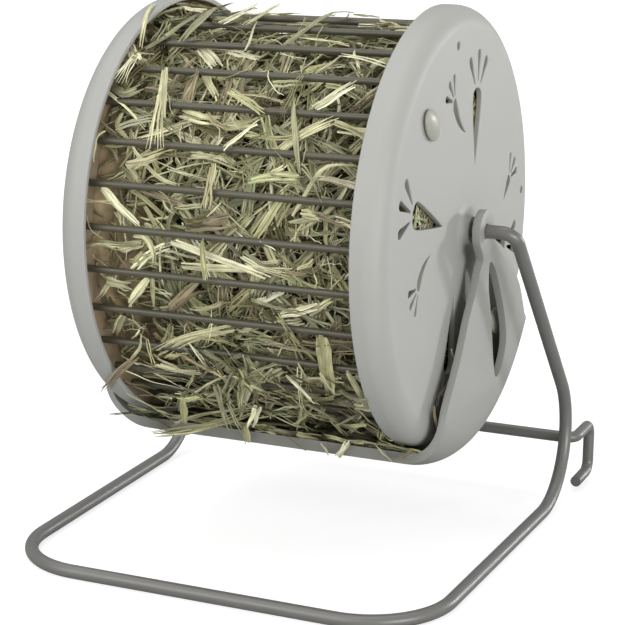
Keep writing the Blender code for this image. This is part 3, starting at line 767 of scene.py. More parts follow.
STAND_CORNERS = mirrored([
    (0.0622, 0, AXLE_HEIGHT), (0.091, 0, AXLE_HEIGHT), (0.0955, 0.1102, 0.0028), (0.0908, -0.103, 0.0028),
])
STAND_BENDS = (0.0065, 0.0319, 0.0345, 0.0345, 0.0319, 0.0065)
HOOK_X = 0.09729
BAR_CORNERS = mirrored([
    (HOOK_X, 0.0832, 0.00454), (HOOK_X, 0.1032, 0.00454), (HOOK_X, 0.1032, 0.02664), (HOOK_X, 0.0785, 0.02664),
])
BAR_BENDS = (0.005,) * 6


# Hay

STRAW_COLOURS = np.array([
    (0.76, 0.74, 0.50),           # bleached stalk
    (0.61, 0.59, 0.355),          # straw
    (0.435, 0.43, 0.228),         # yellow-green leaf
    (0.325, 0.325, 0.190),        # grey-green leaf
    (0.115, 0.110, 0.040),        # dark leaf
    (0.29, 0.24, 0.145),          # brown stalk
])

# Mixtures of them, in the same order, from the heart of the hay outwards: darker deep in as painted shade, paler
# on top as painted light
DEEP_MIX = (0.2, 1.0, 2.2, 3.0, 2.6, 1.6)
MIDDLE_MIX = (0.9, 2.2, 3.2, 2.8, 1.0, 1.1)
TOP_MIX = (2.3, 3.0, 2.6, 1.9, 0.4, 0.8)
HANGING_MIX = (0.5, 2.0, 3.2, 3.4, 1.0, 0.8)
BARE_MIX = (0.5, 1.3, 0.5, 0.3, 0.5, 4.5)

# Distance from the axle at which the drum's side is unrolled to strew straws on it
STRAW_LEVEL = 0.075

# Limits of loose straws: the furthest and nearest to the axle, and the furthest along it
HAY_TOP = 0.0797
HAY_LOW = 0.060
HAY_END_X = 0.0600

# The lower front beside the left ring, where the filling lies bare
BARE_X = -0.036
BARE_START = math.radians(146)
BARE_STOP = math.radians(262)
BARE_SHARE = 0.8

# A strand's places along itself, and its sides
STEPS = 6
SIDES = 4


def hay_material():
    """Dry leaf and stalk: each straw's own colour, streaked along its length and mottled."""
    material, tree, shader = new_material("hay_straws")
    own = add_node(tree, "ShaderNodeAttribute", attribute_name="straw_colour").outputs["Color"]
    place = add_node(tree, "ShaderNodeAttribute", attribute_name="straw_place").outputs["Vector"]

    def stretched_noise(stretch, detail):
        inputs = {0: place, 1: stretch}
        moved = add_node(tree, "ShaderNodeVectorMath", inputs, operation="MULTIPLY").outputs[0]
        return noise(tree, moved, 1, detail)

    streaks = stretched_noise((45, 2.6, 1), 3)
    blotches = stretched_noise((170, 0.8, 1), 2)
    streak_shade = ranged(tree, streaks, 0.3, 0.7, 0.52, 1.36)
    blotch_shade = ranged(tree, blotches, 0.3, 0.7, 0.72, 1.18)
    both = calculated(tree, "MULTIPLY", streak_shade, blotch_shade)
    feed(tree, shader, {
        "Base Color": shaded(tree, own, both), "Normal": relief(tree, streaks, 0.00012, 0.6),
        "Roughness": 0.55, "Specular IOR Level": 0.35,
    })
    return material


def round_drum(x, sideways, distance):
    """Places about the axle from places on the drum's unrolled side and distances from the axle."""
    angle = sideways / STRAW_LEVEL
    return np.stack([x, np.cos(angle) * distance, np.sin(angle) * distance], -1)


def strewn(rng, count, levels, end, lengths, widths, lift=0.06, bow=0.05, kink=0.15):
    """Bunches of straw strewn round the drum, fewer of them at the lower front beside the left ring."""
    x = rng.uniform(-end, end, count)
    angle = rng.uniform(0, math.tau, count)
    bare = (x < BARE_X) & (angle > BARE_START) & (angle < BARE_STOP)
    kept = ~(bare & (rng.random(count) < BARE_SHARE))
    x, angle = x[kept], angle[kept]
    count = len(x)
    return {
        "x": x,
        "sideways": angle * STRAW_LEVEL,
        "level": rng.uniform(*levels, count),
        "heading": rng.uniform(0, math.pi, count),
        "length": rng.uniform(*lengths, count),
        "width": rng.uniform(*widths, count),
        "lift": rng.normal(0, lift, count),
        "bow": rng.normal(0, bow, count),
        "kink": rng.normal(0, kink, count) * (rng.random(count) < 0.4),
        "kink_at": rng.uniform(-0.3, 0.3, count),
        "fray": rng.gamma(1.0, 0.35, count),
        "roll": rng.normal(0, 0.45, count),
        "twist": rng.normal(0, 0.7, count),
    }


def strands(rng, bunch, shares, each, steps=STEPS, sides=SIDES, flat=0.35, top=HAY_TOP, low=HAY_LOW,
            end=HAY_END_X):
    """The single strands of each bunch: side by side, ragged at the ends, fanned out at one of them."""
    bunches = len(bunch["x"])
    colours = straw_tints(rng, bunches, shares)
    which = np.repeat(np.arange(bunches), each)
    count = len(which)
    several = each > 1
    ragged = 0.14
    x, sideways, level, heading, length, width, lift, bow, kink, kink_at, fray, roll, twist = (
        values[which][:, None] for values in bunch.values()
    )

    def spread(size):
        return rng.normal(0, size, (count, 1))

    def between(low, high):
        return rng.uniform(low, high, (count, 1))

    rank = np.tile((np.arange(each) + 0.5) / each - 0.5, bunches)[:, None] + spread(0.3 / each)
    start = between(0, ragged) if several else np.zeros((count, 1))
    stop = 1 - between(0, ragged) if several else np.ones((count, 1))
    share = np.linspace(0, 1, steps)[None]
    t = start + (stop - start) * share
    u = t - 0.5
    wave = 0.00025 * np.sin(u * between(5, 14) + between(0, 6))
    across = rank * width * (1 + fray * t ** 3) + bow * length * (1 - 4 * u * u)
    across = across + kink * length * np.maximum(0, u - kink_at) + wave
    along = u * length
    place_x = x + np.cos(heading) * along - np.sin(heading) * across
    place_sideways = sideways + np.sin(heading) * along + np.cos(heading) * across
    chord = 0.3 * (np.sin(heading) * along) ** 2 / STRAW_LEVEL
    distance = level + lift * along + chord + spread(0.00035) + wave[:, ::-1]
    lines = round_drum(np.clip(place_x, -end, end), place_sideways, np.clip(distance, low, top))
    angle = place_sideways / STRAW_LEVEL
    side = np.stack([
        -np.sin(heading) + 0 * angle, -np.sin(angle) * np.cos(heading), np.cos(angle) * np.cos(heading),
    ], -1)
    fibre = width / each * between(1.0, 1.8 if several else 1.1)
    tip = between(0.06, 0.35) * (rng.random((count, 1)) < (0.5 if several else 0.8)) + 0.001
    wide = fibre * np.clip((1 - share) / tip, 0.22, 1) ** 0.6 * np.clip(share * 9, 0.7, 1)
    turn = np.concatenate([roll + spread(0.15), twist + spread(0.2)], 1)
    tints = colours[which] * rng.normal(1, 0.15 if several else 0.05, (count, 1)).clip(0.55, 1.4)
    return lines, side, wide, np.maximum(0.0001, wide * flat), sides, turn, tints


def straw_mesh(name, groups, material):
    """One mesh of closed straws; each group is (lines, sideways, widths, thicknesses, sides, twist, colours)."""
    places, tints, marks, quads, ends, smooth = [], [], [], [], [], []
    first = 0
    for lines, sideways, widths, thicknesses, sides, twist, colours in groups:
        count, steps = lines.shape[:2]
        ahead = np.gradient(lines, axis=1)
        ahead /= np.linalg.norm(ahead, axis=2, keepdims=True) + 1e-9
        across = sideways - ahead * (sideways * ahead).sum(2, keepdims=True)
        across /= np.linalg.norm(across, axis=2, keepdims=True) + 1e-9
        up = np.cross(ahead, across)
        t = np.linspace(0, 1, steps)[None, :, None]
        spin = twist[:, 0, None, None] + twist[:, 1, None, None] * t
        across, up = across * np.cos(spin) + up * np.sin(spin), up * np.cos(spin) - across * np.sin(spin)
        turn = np.arange(sides) * math.tau / sides
        ring = (across[:, :, None] * (widths[:, :, None] / 2 * np.cos(turn))[..., None]
                + up[:, :, None] * (thicknesses[:, :, None] / 2 * np.sin(turn))[..., None])
        points = lines[:, :, None] + ring
        places.append(points.reshape(-1, 3))
        tints.append(np.repeat(colours, steps * sides, 0))
        run = np.linalg.norm(np.diff(lines, axis=1), axis=2)
        run = np.concatenate([np.zeros((count, 1)), np.cumsum(run, 1)], 1)
        mark = np.zeros((count, steps, sides, 3))
        mark[..., 0] = run[:, :, None]
        mark[..., 1] = np.cos(turn) * widths[:, :, None] / 0.002
        mark[..., 2] = (np.arange(count) * 0.737)[:, None, None] + 0.3 * np.sin(turn)
        marks.append(mark.reshape(-1, 3))
        index = first + np.arange(count * steps * sides).reshape(count, steps, sides)
        after = np.roll(index, -1, 2)
        corners = [index[:, :-1], after[:, :-1], after[:, 1:], index[:, 1:]]
        quads.append(np.stack(corners, -1).reshape(-1, 4))
        smooth.append(np.full(len(quads[-1]), sides > 4))
        ends += [index[:, 0, ::-1], index[:, -1]]
        first += count * steps * sides
    places, tints, marks, quads = (np.concatenate(part) for part in (places, tints, marks, quads))
    places[:, 2] += AXLE_HEIGHT
    loops = np.concatenate([quads.ravel(), *(part.ravel() for part in ends)])
    end_totals = (np.full(len(part), part.shape[1]) for part in ends)
    totals = np.concatenate([np.full(len(quads), 4), *end_totals])
    starts = np.concatenate([[0], np.cumsum(totals)[:-1]])
    mesh = bpy.data.meshes.new(name)
    mesh.vertices.add(len(places))
    mesh.vertices.foreach_set("co", places.astype(np.float32).ravel())
    mesh.loops.add(len(loops))
    mesh.loops.foreach_set("vertex_index", loops.astype(np.int32))
    mesh.polygons.add(len(totals))
    mesh.polygons.foreach_set("loop_start", starts.astype(np.int32))
    mesh.polygons.foreach_set("loop_total", totals.astype(np.int32))
    mesh.update(calc_edges=True)
    mesh.validate()
    tints = np.concatenate([tints, np.ones((len(tints), 1))], 1)
    tint = mesh.attributes.new("straw_colour", "FLOAT_COLOR", "POINT")
    tint.data.foreach_set("color", tints.astype(np.float32).ravel())
    mark = mesh.attributes.new("straw_place", "FLOAT_VECTOR", "POINT")
    mark.data.foreach_set("vector", marks.astype(np.float32).ravel())
    smooth = np.concatenate([*smooth, np.zeros(len(totals) - len(quads), bool)])
    mesh.polygons.foreach_set("use_smooth", smooth)
    mesh.materials.append(material)
    piece = bpy.data.objects.new(name, mesh)
    bpy.context.scene.collection.objects.link(piece)
    return piece


def straw_tints(rng, count, shares):
    """Each bunch's colour: one of the mixture, a little lighter or darker and greener or browner."""
    chosen = STRAW_COLOURS[rng.choice(len(STRAW_COLOURS), count, p=np.array(shares) / sum(shares))]
    chosen = chosen * rng.normal(1, 0.18, (count, 1)).clip(0.5, 1.5)
    return (chosen * rng.normal(1, 0.022, (count, 3)).clip(0.965, 1.035)).clip(0.01, 0.9)


def hay_layer(rng, shares, count, levels, end, lengths, widths, each, steps=STEPS, sides=SIDES, flat=0.35,
              top=HAY_TOP, low=HAY_LOW, **shape):
    bunch = strewn(rng, count, levels, end, lengths, widths, **shape)
    return strands(rng, bunch, shares, each, steps, sides, flat, top, low)


def between_wires(rng, count, shares):
    """Short bunches that bulge out between two wires, most of them lying along the wires."""
    bunch = strewn(rng, count, (0.0795, 0.0845), 0.057, (0.010, 0.026), (0.0008, 0.0030))
    left = len(bunch["x"])
    gap = rng.integers(0, CAGE_WIRE_COUNT, left) + 0.5 + rng.uniform(-0.18, 0.18, left)
    bunch["sideways"] = (CAGE_FIRST_ANGLE + math.tau * gap / CAGE_WIRE_COUNT) * STRAW_LEVEL
    bunch["heading"] = rng.normal(0, 0.32, left)
    bunch["length"] *= 1 - 0.5 * np.abs(np.sin(bunch["heading"]))
    return strands(rng, bunch, shares, 3, top=0.0868, low=0.074)


def hay_by_left_ring(rng, count, shares):
    """Hay packed against the top of the left ring, up to the cap's skirt."""
    bunch = strewn(rng, count, (0.074, 0.086), 0.057, (0.010, 0.024), (0.0008, 0.0034), lift=0.2, kink=0.4)
    left = len(bunch["x"])
    bunch["x"] = rng.uniform(-0.0595, -0.050, left)
    bunch["sideways"] = np.radians(rng.uniform(48, 140, left)) * STRAW_LEVEL
    return strands(rng, bunch, shares, 3, top=0.0868, low=0.072, end=0.0602)


def hay_over_bare_filling(rng, count, shares):
    """Thin brown bits on the filling that lies bare at the lower front of the left cap."""
    levels, lengths, widths = (0.0738, 0.0760), (0.006, 0.020), (0.0004, 0.0016)
    bunch = strewn(rng, count, levels, 0.057, lengths, widths, lift=0.1, kink=0.4)
    left = len(bunch["x"])
    bunch["x"] = rng.uniform(-0.0600, -0.0380, left)
    bunch["sideways"] = np.radians(rng.uniform(140, 264, left)) * STRAW_LEVEL
    return strands(rng, bunch, shares, 2, top=0.0790, low=0.0735, end=0.0602)


def hay_by_right_ring(rng, count, shares):
    """Bits that close the gap before the right ring, clear of where the latches' noses turn."""
    bunch = strewn(rng, count, (0.0715, 0.0790), 0.057, (0.006, 0.016), (0.0012, 0.0036), lift=0.1)
    left = len(bunch["x"])
    latch = np.array(list(LATCH_ANGLES.values()))[rng.integers(0, len(LATCH_ANGLES), left)]
    bunch["x"] = rng.uniform(0.0570, 0.0600, left)
    bunch["sideways"] = (latch + rng.uniform(math.radians(15), math.radians(165), left)) * STRAW_LEVEL
    bunch["heading"] = math.pi / 2 + rng.normal(0, 0.25, left)
    return strands(rng, bunch, shares, 3, low=0.0700, end=0.0603)


def hanging_hay(rng, count, shares):
    """Straws pulled out through the lower front of the cage, over the tray's lip."""
    levels, lengths, widths = (0.0845, 0.0890), (0.010, 0.024), (0.0005, 0.0020)
    bunch = strewn(rng, count, levels, 0.055, lengths, widths, lift=0.25, bow=0.02)
    left = len(bunch["x"])
    bunch["x"] = rng.normal(0.002, 0.026, left).clip(-0.050, 0.055)
    bunch["sideways"] = np.radians(rng.uniform(212, 246, left)) * STRAW_LEVEL
    return strands(rng, bunch, shares, 2, 7, top=0.0905, low=0.0840, end=0.057)


def laid_straw(rng, places, width, colour, each, fray):
    """A straw or a frayed bunch laid through chosen places: x in mm, degrees round the axle, mm from it."""
    steps = 11
    several = each > 1
    middle = []
    for x, degrees, distance in places:
        angle = math.radians(degrees)
        middle.append((x / 1000, math.cos(angle) * distance / 1000, math.sin(angle) * distance / 1000))
    middle = np.array(smooth_through(middle, 8) if len(places) > 2 else middle)
    along = np.concatenate([[0], np.cumsum(np.linalg.norm(np.diff(middle, axis=0), axis=1))])
    start = rng.uniform(0, 0.08 if several else 0.001, each)[:, None]
    stop = 1 - rng.uniform(0, 0.16 if several else 0.001, each)[:, None]
    t = start + (stop - start) * np.linspace(0, 1, steps)[None]
    line = np.stack([np.interp(t * along[-1], along, middle[:, k]) for k in range(3)], -1)
    out = line * np.array([0, 1, 1])
    out /= np.linalg.norm(out, axis=2, keepdims=True)
    side = np.cross(np.gradient(line, axis=1), out)
    side /= np.linalg.norm(side, axis=2, keepdims=True)
    rank = ((np.arange(each) + 0.5) / each - 0.5 + rng.normal(0, 0.25 / each, each))[:, None]
    wave = 0.0002 * np.sin(t * rng.uniform(5, 12, (each, 1)) + rng.uniform(0, 6, (each, 1)))
    line = line + side * (rank * width * (1 + fray * t ** 2.5) + wave)[..., None]
    above = rng.normal(0, 0.0002, (each, 1)) + wave[:, ::-1] + 0.0006 * fray * rank * t
    line = line + out * above[..., None]
    share = np.linspace(0, 1, steps)[None]
    wide = width / each * rng.uniform(1.15, 1.9 if several else 1.16, (each, 1))
    wide = wide * np.clip((1 - share) / 0.35, 0.2, 1) ** 0.6 * np.clip(share * 8, 0.6, 1)
    tints = np.array(colour)[None] * rng.normal(1, 0.14 if several else 0.02, (each, 1)).clip(0.6, 1.35)
    turn = np.stack([rng.normal(0, 0.12, each), rng.normal(0, 0.3, each)], 1)
    return line, side, wide, np.maximum(0.00012, wide * 0.3), SIDES, turn, tints.clip(0.01, 0.95)


def laid_straws(rng, table):
    return [
        laid_straw(rng, places, width, STRAW_COLOURS[colour], each, fray)
        for places, width, colour, each, fray in table
    ]


def hay_heart(material):
    """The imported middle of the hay, and the pale brown filling beside the left cap."""
    rng = np.random.default_rng(5)
    rounds = 120
    right = [(0, 0.0597), (0.0072, 0.0597), (0.0085, 0.0652), (0.0530, 0.0645), (0.0555, 0.0581),
             (0.0730, 0.0581), (0.0730, 0.0570)]
    left = [(0.0690, -0.0510), (0.0728, -0.0570), (0.0733, -0.0605), (0.0733, -0.0655), (0.0085, -0.0655),
            (0.0072, -0.0597), (0, -0.0597)]
    section = np.array([*right, *((0.0665, x) for x in np.linspace(0.056, -0.044, 54)), *left])
    angle = np.linspace(0, math.tau, rounds, endpoint=False)[:, None]
    reach, place = section[None, :, 0], section[None, :, 1]
    bumps = 0
    for k in range(3, 24):
        size, phase, lean = rng.normal(0, 0.0008), rng.uniform(0, 6), rng.uniform(-300, 300)
        bumps = bumps + size * np.sin(k * angle + phase + place * lean)
    bumps = bumps * np.clip((place + 0.062) / 0.02, 0.1, 1)
    hollow = np.exp(-((place + 0.046) / 0.010) ** 2) * np.clip(-np.cos(angle - math.radians(25)), 0, 1)
    outside = reach > 0.06
    distance = reach + np.where(outside, bumps - 0.004 * hollow, 0)
    distance = np.where(outside, np.minimum(distance, 0.0735), distance)
    points = np.stack([np.cos(angle) * distance, np.sin(angle) * distance, np.repeat(place, rounds, 0)], -1)
    points = points.reshape(-1, 3)
    count = len(section)
    faces = []
    for i in range(rounds):
        here, there = i * count, ((i + 1) % rounds) * count
        faces += [(here + j, here + j + 1, there + j + 1, there + j) for j in range(count - 1)]
    piece = add_piece("hay_heart", points, faces, RIGHT_SIDE, material)
    weld(piece)
    return piece


def heart_material():
    """Dark between the straws, as painted shade, and pale brown where the filling lies bare beside the left
    ring.
    """
    material, tree, shader = new_material("hay_heart")
    place, apart = object_place(tree)
    bare = ranged(tree, apart["X"], BARE_X, BARE_X - 0.012)
    # The dark colour is painted shade deep in the hay.
    colour = mixed(tree, bare, (0.055, 0.052, 0.016, 1), (0.50, 0.385, 0.225, 1))
    shade = ranged(tree, noise(tree, place, 160, 4), 0.3, 0.7, 0.55, 1.3)
    feed(tree, shader, {"Base Color": shaded(tree, colour, shade), "Roughness": 0.8, "Specular IOR Level": 0.2})
    return material


def hay_in_caps(rng, shares):
    """Straws flat against the inside of each end cap, which show through its cut-outs."""
    groups = []
    for end in (0.0661, -0.0661):
        count = 1200
        spot = np.sqrt(rng.uniform(0.03, 1, count)) * 0.053
        angle = rng.uniform(0, math.tau, count)
        heading = rng.uniform(0, math.tau, count)
        u = np.linspace(-0.5, 0.5, 5)[None]
        length = rng.uniform(0.006, 0.022, count)[:, None]
        y = (spot * np.cos(angle))[:, None] + np.cos(heading)[:, None] * u * length
        z = (spot * np.sin(angle))[:, None] + np.sin(heading)[:, None] * u * length
        distance = np.hypot(y, z)
        held = np.clip(distance, 0.0085, 0.0555) / distance
        flat = 0 * y
        x = end + rng.normal(0, 0.00030, count)[:, None].clip(-0.0007, 0.0004) + flat
        lines = np.stack([x, y * held, z * held], -1)
        side = np.stack([flat, -np.sin(heading)[:, None] + flat, np.cos(heading)[:, None] + flat], -1)
        wide = rng.uniform(0.0003, 0.0011, count)[:, None] + flat
        turn = np.zeros((count, 2))
        groups.append((lines, side, wide, wide * 0.25, SIDES, turn, straw_tints(rng, count, shares)))
    return groups


# Straws that stand out, laid one by one on the drum: places, width, colour, strands, fray
BLEACHED, STRAW, LEAF, GREY_LEAF, DARK_LEAF, BROWN = range(6)
CHOSEN_STRAWS = (
    (((-39, 129, 84.8), (-34, 140, 85), (-31, 146, 85.2)), 0.0026, STRAW, 2, 0.1),
    (((-35, 137, 85.2), (-32, 147, 85.8), (-30, 155, 86)), 0.0034, STRAW, 6, 1.7),
    (((-54, 165, 82), (-44, 171, 81), (-35, 176, 80)), 0.0034, BLEACHED, 3, 0.0),
    (((-27, 142, 80), (-17, 144, 82), (-8, 144, 80)), 0.0046, STRAW, 5, 0.5),
    (((-8, 145, 79.8), (7, 143, 79.5)), 0.0034, LEAF, 2, 0.1),
    (((18, 152, 81), (30, 146, 84), (42, 142, 85.2)), 0.0034, STRAW, 5, 0.5),
    (((30, 140, 85), (45, 131, 86)), 0.0040, BLEACHED, 5, 0.2),
    (((-32, 116, 80), (-25, 121, 80), (-19, 125, 79.5)), 0.0044, BLEACHED, 4, 0.1),
    (((-26, 125, 79.5), (-13, 137, 79.6)), 0.0028, STRAW, 3, 0.3),
    (((-27, 126, 80), (-28, 138, 80)), 0.0026, BROWN, 3, 0.4),
    (((-35, 101, 88), (-35, 110, 88), (-38, 120, 85)), 0.0048, GREY_LEAF, 3, 0.1),
    (((-52, 122, 84), (-38, 104, 88)), 0.0034, GREY_LEAF, 4, 0.4),
    (((-28, 108, 85), (-18, 93, 89)), 0.0040, BLEACHED, 6, 0.3),
    (((-17, 108, 85), (-9, 95, 89)), 0.0032, STRAW, 5, 0.4),
    (((-48, 108, 85), (-33, 88, 88)), 0.0026, DARK_LEAF, 4, 0.6),
    (((-8, 121, 85), (-11, 108, 87)), 0.0009, STRAW, 1, 0.0),
    (((2, 112, 79), (14, 99, 86.5), (22, 88, 85)), 0.0030, GREY_LEAF, 4, 0.5),
    (((19, 134, 84.9), (29, 153, 85), (33, 162, 84.6)), 0.0022, GREY_LEAF, 2, 0.2),
    (((29, 169, 80), (40, 157, 84.9), (51, 154, 80)), 0.0014, STRAW, 1, 0.0),
    (((-24, 142, 80), (-24, 128, 85.2)), 0.0014, BROWN, 2, 0.5),
    (((-17, 174, 80), (4, 171, 80)), 0.0046, BROWN, 5, 0.3),
    (((-22, 178, 82), (24, 186.5, 82)), 0.0020, BLEACHED, 2, 0.1),
    (((-19, 185, 81), (32, 183, 82)), 0.0034, STRAW, 4, 0.1),
    (((3, 203, 79.8), (-20, 208, 82), (-37, 215, 84)), 0.0044, STRAW, 6, 0.9),
    (((-57, 221, 80), (-31, 230, 85)), 0.0009, BLEACHED, 1, 0.0),
    (((-60, 233, 84), (-42, 246, 88)), 0.0010, STRAW, 1, 0.0),
    (((-42, 214, 86), (-50, 217, 90.8), (-67, 230, 91.6)), 0.0026, BROWN, 5, 0.8),
    (((41, 199, 85.2), (38, 221, 85.4)), 0.0056, LEAF, 3, 0.0),
    (((12, 214, 85), (-2, 229, 86), (-13, 243, 89)), 0.0020, BLEACHED, 2, 0.1),
    (((10, 211, 85), (-6, 234, 86.5)), 0.0064, GREY_LEAF, 5, 0.2),
    (((45, 237, 85), (33, 248, 89)), 0.0024, STRAW, 3, 0.2),
    (((47, 236, 86), (52, 249, 89)), 0.0008, STRAW, 1, 0.0),
    (((-60, 104, 90.7), (-56, 114, 90.7), (-53, 124, 85)), 0.0016, STRAW, 2, 0.3),
    (((-53, 124, 85), (-53, 131, 87.5), (-54, 137, 87.5)), 0.0026, BLEACHED, 6, 1.9),
    (((-59, 122, 86), (-50, 129, 86)), 0.0036, BLEACHED, 5, 0.6),
    (((-59, 136, 83), (-52, 138, 83), (-46, 135, 82)), 0.0030, GREY_LEAF, 4, 0.4),
    (((-60, 138, 84), (-48, 143, 82), (-39, 148, 80)), 0.0013, STRAW, 2, 0.3),
    (((-52, 143, 80), (-52, 147, 80), (-46, 151, 79)), 0.0018, LEAF, 1, 0.0),
    (((-60, 147, 84), (-54, 149, 83), (-50, 150, 81)), 0.0009, BROWN, 2, 0.6),
    (((-55, 150, 84), (-57, 153, 86), (-56, 159, 86)), 0.0011, STRAW, 1, 0.0),
    (((-44, 153, 81), (-31, 161, 80), (-20, 163, 79.5)), 0.0016, STRAW, 2, 0.4),
    (((-38, 165, 80), (-24, 167, 80), (-11, 169, 80)), 0.0018, BROWN, 3, 0.5),
    (((-40, 178, 80), (-34, 178, 81), (-30, 182, 81), (-31, 186, 80)), 0.0024, STRAW, 2, 0.3),
    (((-33, 190, 80), (-39, 195, 81), (-45, 200, 81)), 0.0028, STRAW, 2, 0.1),
    (((-48, 203, 80), (-56, 212, 80)), 0.0026, STRAW, 2, 0.1),
    (((-48, 190, 80), (-55, 196, 80), (-60, 200, 80)), 0.0016, STRAW, 2, 0.3),
    (((-31, 189, 81), (-33, 199, 80)), 0.0020, LEAF, 1, 0.0),
    (((-26, 199, 80), (-11, 190, 80)), 0.0042, BROWN, 3, 0.4),
    (((-47, 183, 79), (-35, 180, 80)), 0.0028, STRAW, 3, 0.4),
    (((-39, 187, 79), (-34, 182, 80)), 0.0030, LEAF, 2, 0.1),
    (((-49, 217, 86), (-42, 212, 86), (-39, 207, 84)), 0.0011, STRAW, 1, 0.0),
    (((-52, 218, 89), (-41, 222, 89), (-29, 227, 87)), 0.0010, BLEACHED, 1, 0.0),
    (((-29, 232, 88), (-15, 222, 88), (1, 216, 86)), 0.0013, STRAW, 2, 0.4),
    (((-29, 233, 88), (-10, 226, 87)), 0.0010, BLEACHED, 1, 0.0),
    (((1, 215, 86), (-8, 224, 90)), 0.0030, GREY_LEAF, 4, 0.5),
    (((-12, 209, 86), (-4, 213, 86), (1, 219, 87)), 0.0026, GREY_LEAF, 3, 0.4),
    (((24, 162, 80), (12, 176, 79.6)), 0.0034, LEAF, 3, 0.3),
)

# Straws caught in the tray, in the same measures: over its front edge, and between lid and wall
TRAY_STRAWS = (
    (((-54, 248, 99.5), (-30, 238, 97.5), (-16, 238, 93), (-1, 234, 88)), 0.0058, LEAF, 6, 0.3),
    (((-39, 237, 98.5), (-24, 237, 91), (0, 233, 88)), 0.0026, STRAW, 3, 0.3),
    (((-55, 249, 100.5), (-34, 241, 98.8), (-19, 240, 94)), 0.0036, STRAW, 4, 0.5),
    (((-57, 230, 90), (-47, 238, 92), (-34, 236, 97)), 0.0016, STRAW, 2, 0.2),
    (((-29, 228, 89.5), (-31, 236, 97)), 0.0032, LEAF, 3, 0.1),
    (((-10, 220, 88.5), (-12, 232, 92), (-10, 239, 99)), 0.0024, GREY_LEAF, 2, 0.2),
    (((-8, 226, 90), (-4, 231, 96), (-2, 236, 99.5)), 0.0013, GREY_LEAF, 2, 0.6),
    (((5, 228, 89), (-2, 236, 96)), 0.0022, BLEACHED, 2, 0.2),
    (((-69, 238, 96.5), (-51, 235, 95), (-43, 234, 92)), 0.0016, DARK_LEAF, 3, 0.4),
    (((-60, 236, 92), (-50, 240, 93)), 0.0044, GREY_LEAF, 5, 0.5),
    (((-62, 241, 92), (-52, 244, 94)), 0.0030, DARK_LEAF, 4, 0.5),
    (((-40, 246, 98), (-62, 244, 92)), 0.0024, GREY_LEAF, 3, 0.3),
    (((-8, 241, 92), (-10, 247, 98.5)), 0.0020, LEAF, 3, 0.5),
    (((6, 243, 92), (18, 247, 98.4)), 0.0012, BROWN, 2, 0.4),
    (((30, 247.5, 99), (37, 243, 92)), 0.0026, BLEACHED, 3, 0.2),
    (((24, 244, 94), (27, 247, 98.8)), 0.0010, STRAW, 2, 0.6),
    (((48, 243, 92), (55, 247, 98)), 0.0016, STRAW, 2, 0.4),
    (((58, 246, 97), (66, 242, 92)), 0.0024, BROWN, 4, 0.6),
    (((50, 240, 91.5), (66, 246, 93)), 0.0034, GREY_LEAF, 4, 0.5),
    (((71.2, 248, 49), (72.6, 261, 59)), 0.0009, BLEACHED, 1, 0.0),
    (((70.8, 254, 60), (71.8, 247, 66), (71.2, 240, 72)), 0.0011, BROWN, 3, 0.9),
    (((71.6, 251, 58), (72.4, 257, 66)), 0.0009, LEAF, 2, 0.6),
    (((71.0, 245, 65), (72.2, 250, 74)), 0.0007, BROWN, 2, 0.6),
    (((71.5, 238, 74), (72.4, 244, 83)), 0.0008, BROWN, 2, 0.6),
)


def hay_in_tray(rng, material):
    """Bits of hay that have dropped through the cage into the trough."""
    bunch = strewn(rng, 420, (0.0905, 0.0928), 0.066, (0.006, 0.024), (0.0005, 0.0026), lift=0.0)
    count = len(bunch["x"])
    bunch["sideways"] = np.radians(rng.uniform(243, 322, count)) * STRAW_LEVEL
    bunch["heading"] = rng.normal(0, 0.6, count)
    bits = strands(rng, bunch, MIDDLE_MIX, 2, top=0.0929, low=0.0903, end=0.067)
    return straw_mesh("hay_in_tray", [bits, *laid_straws(rng, TRAY_STRAWS)], material)


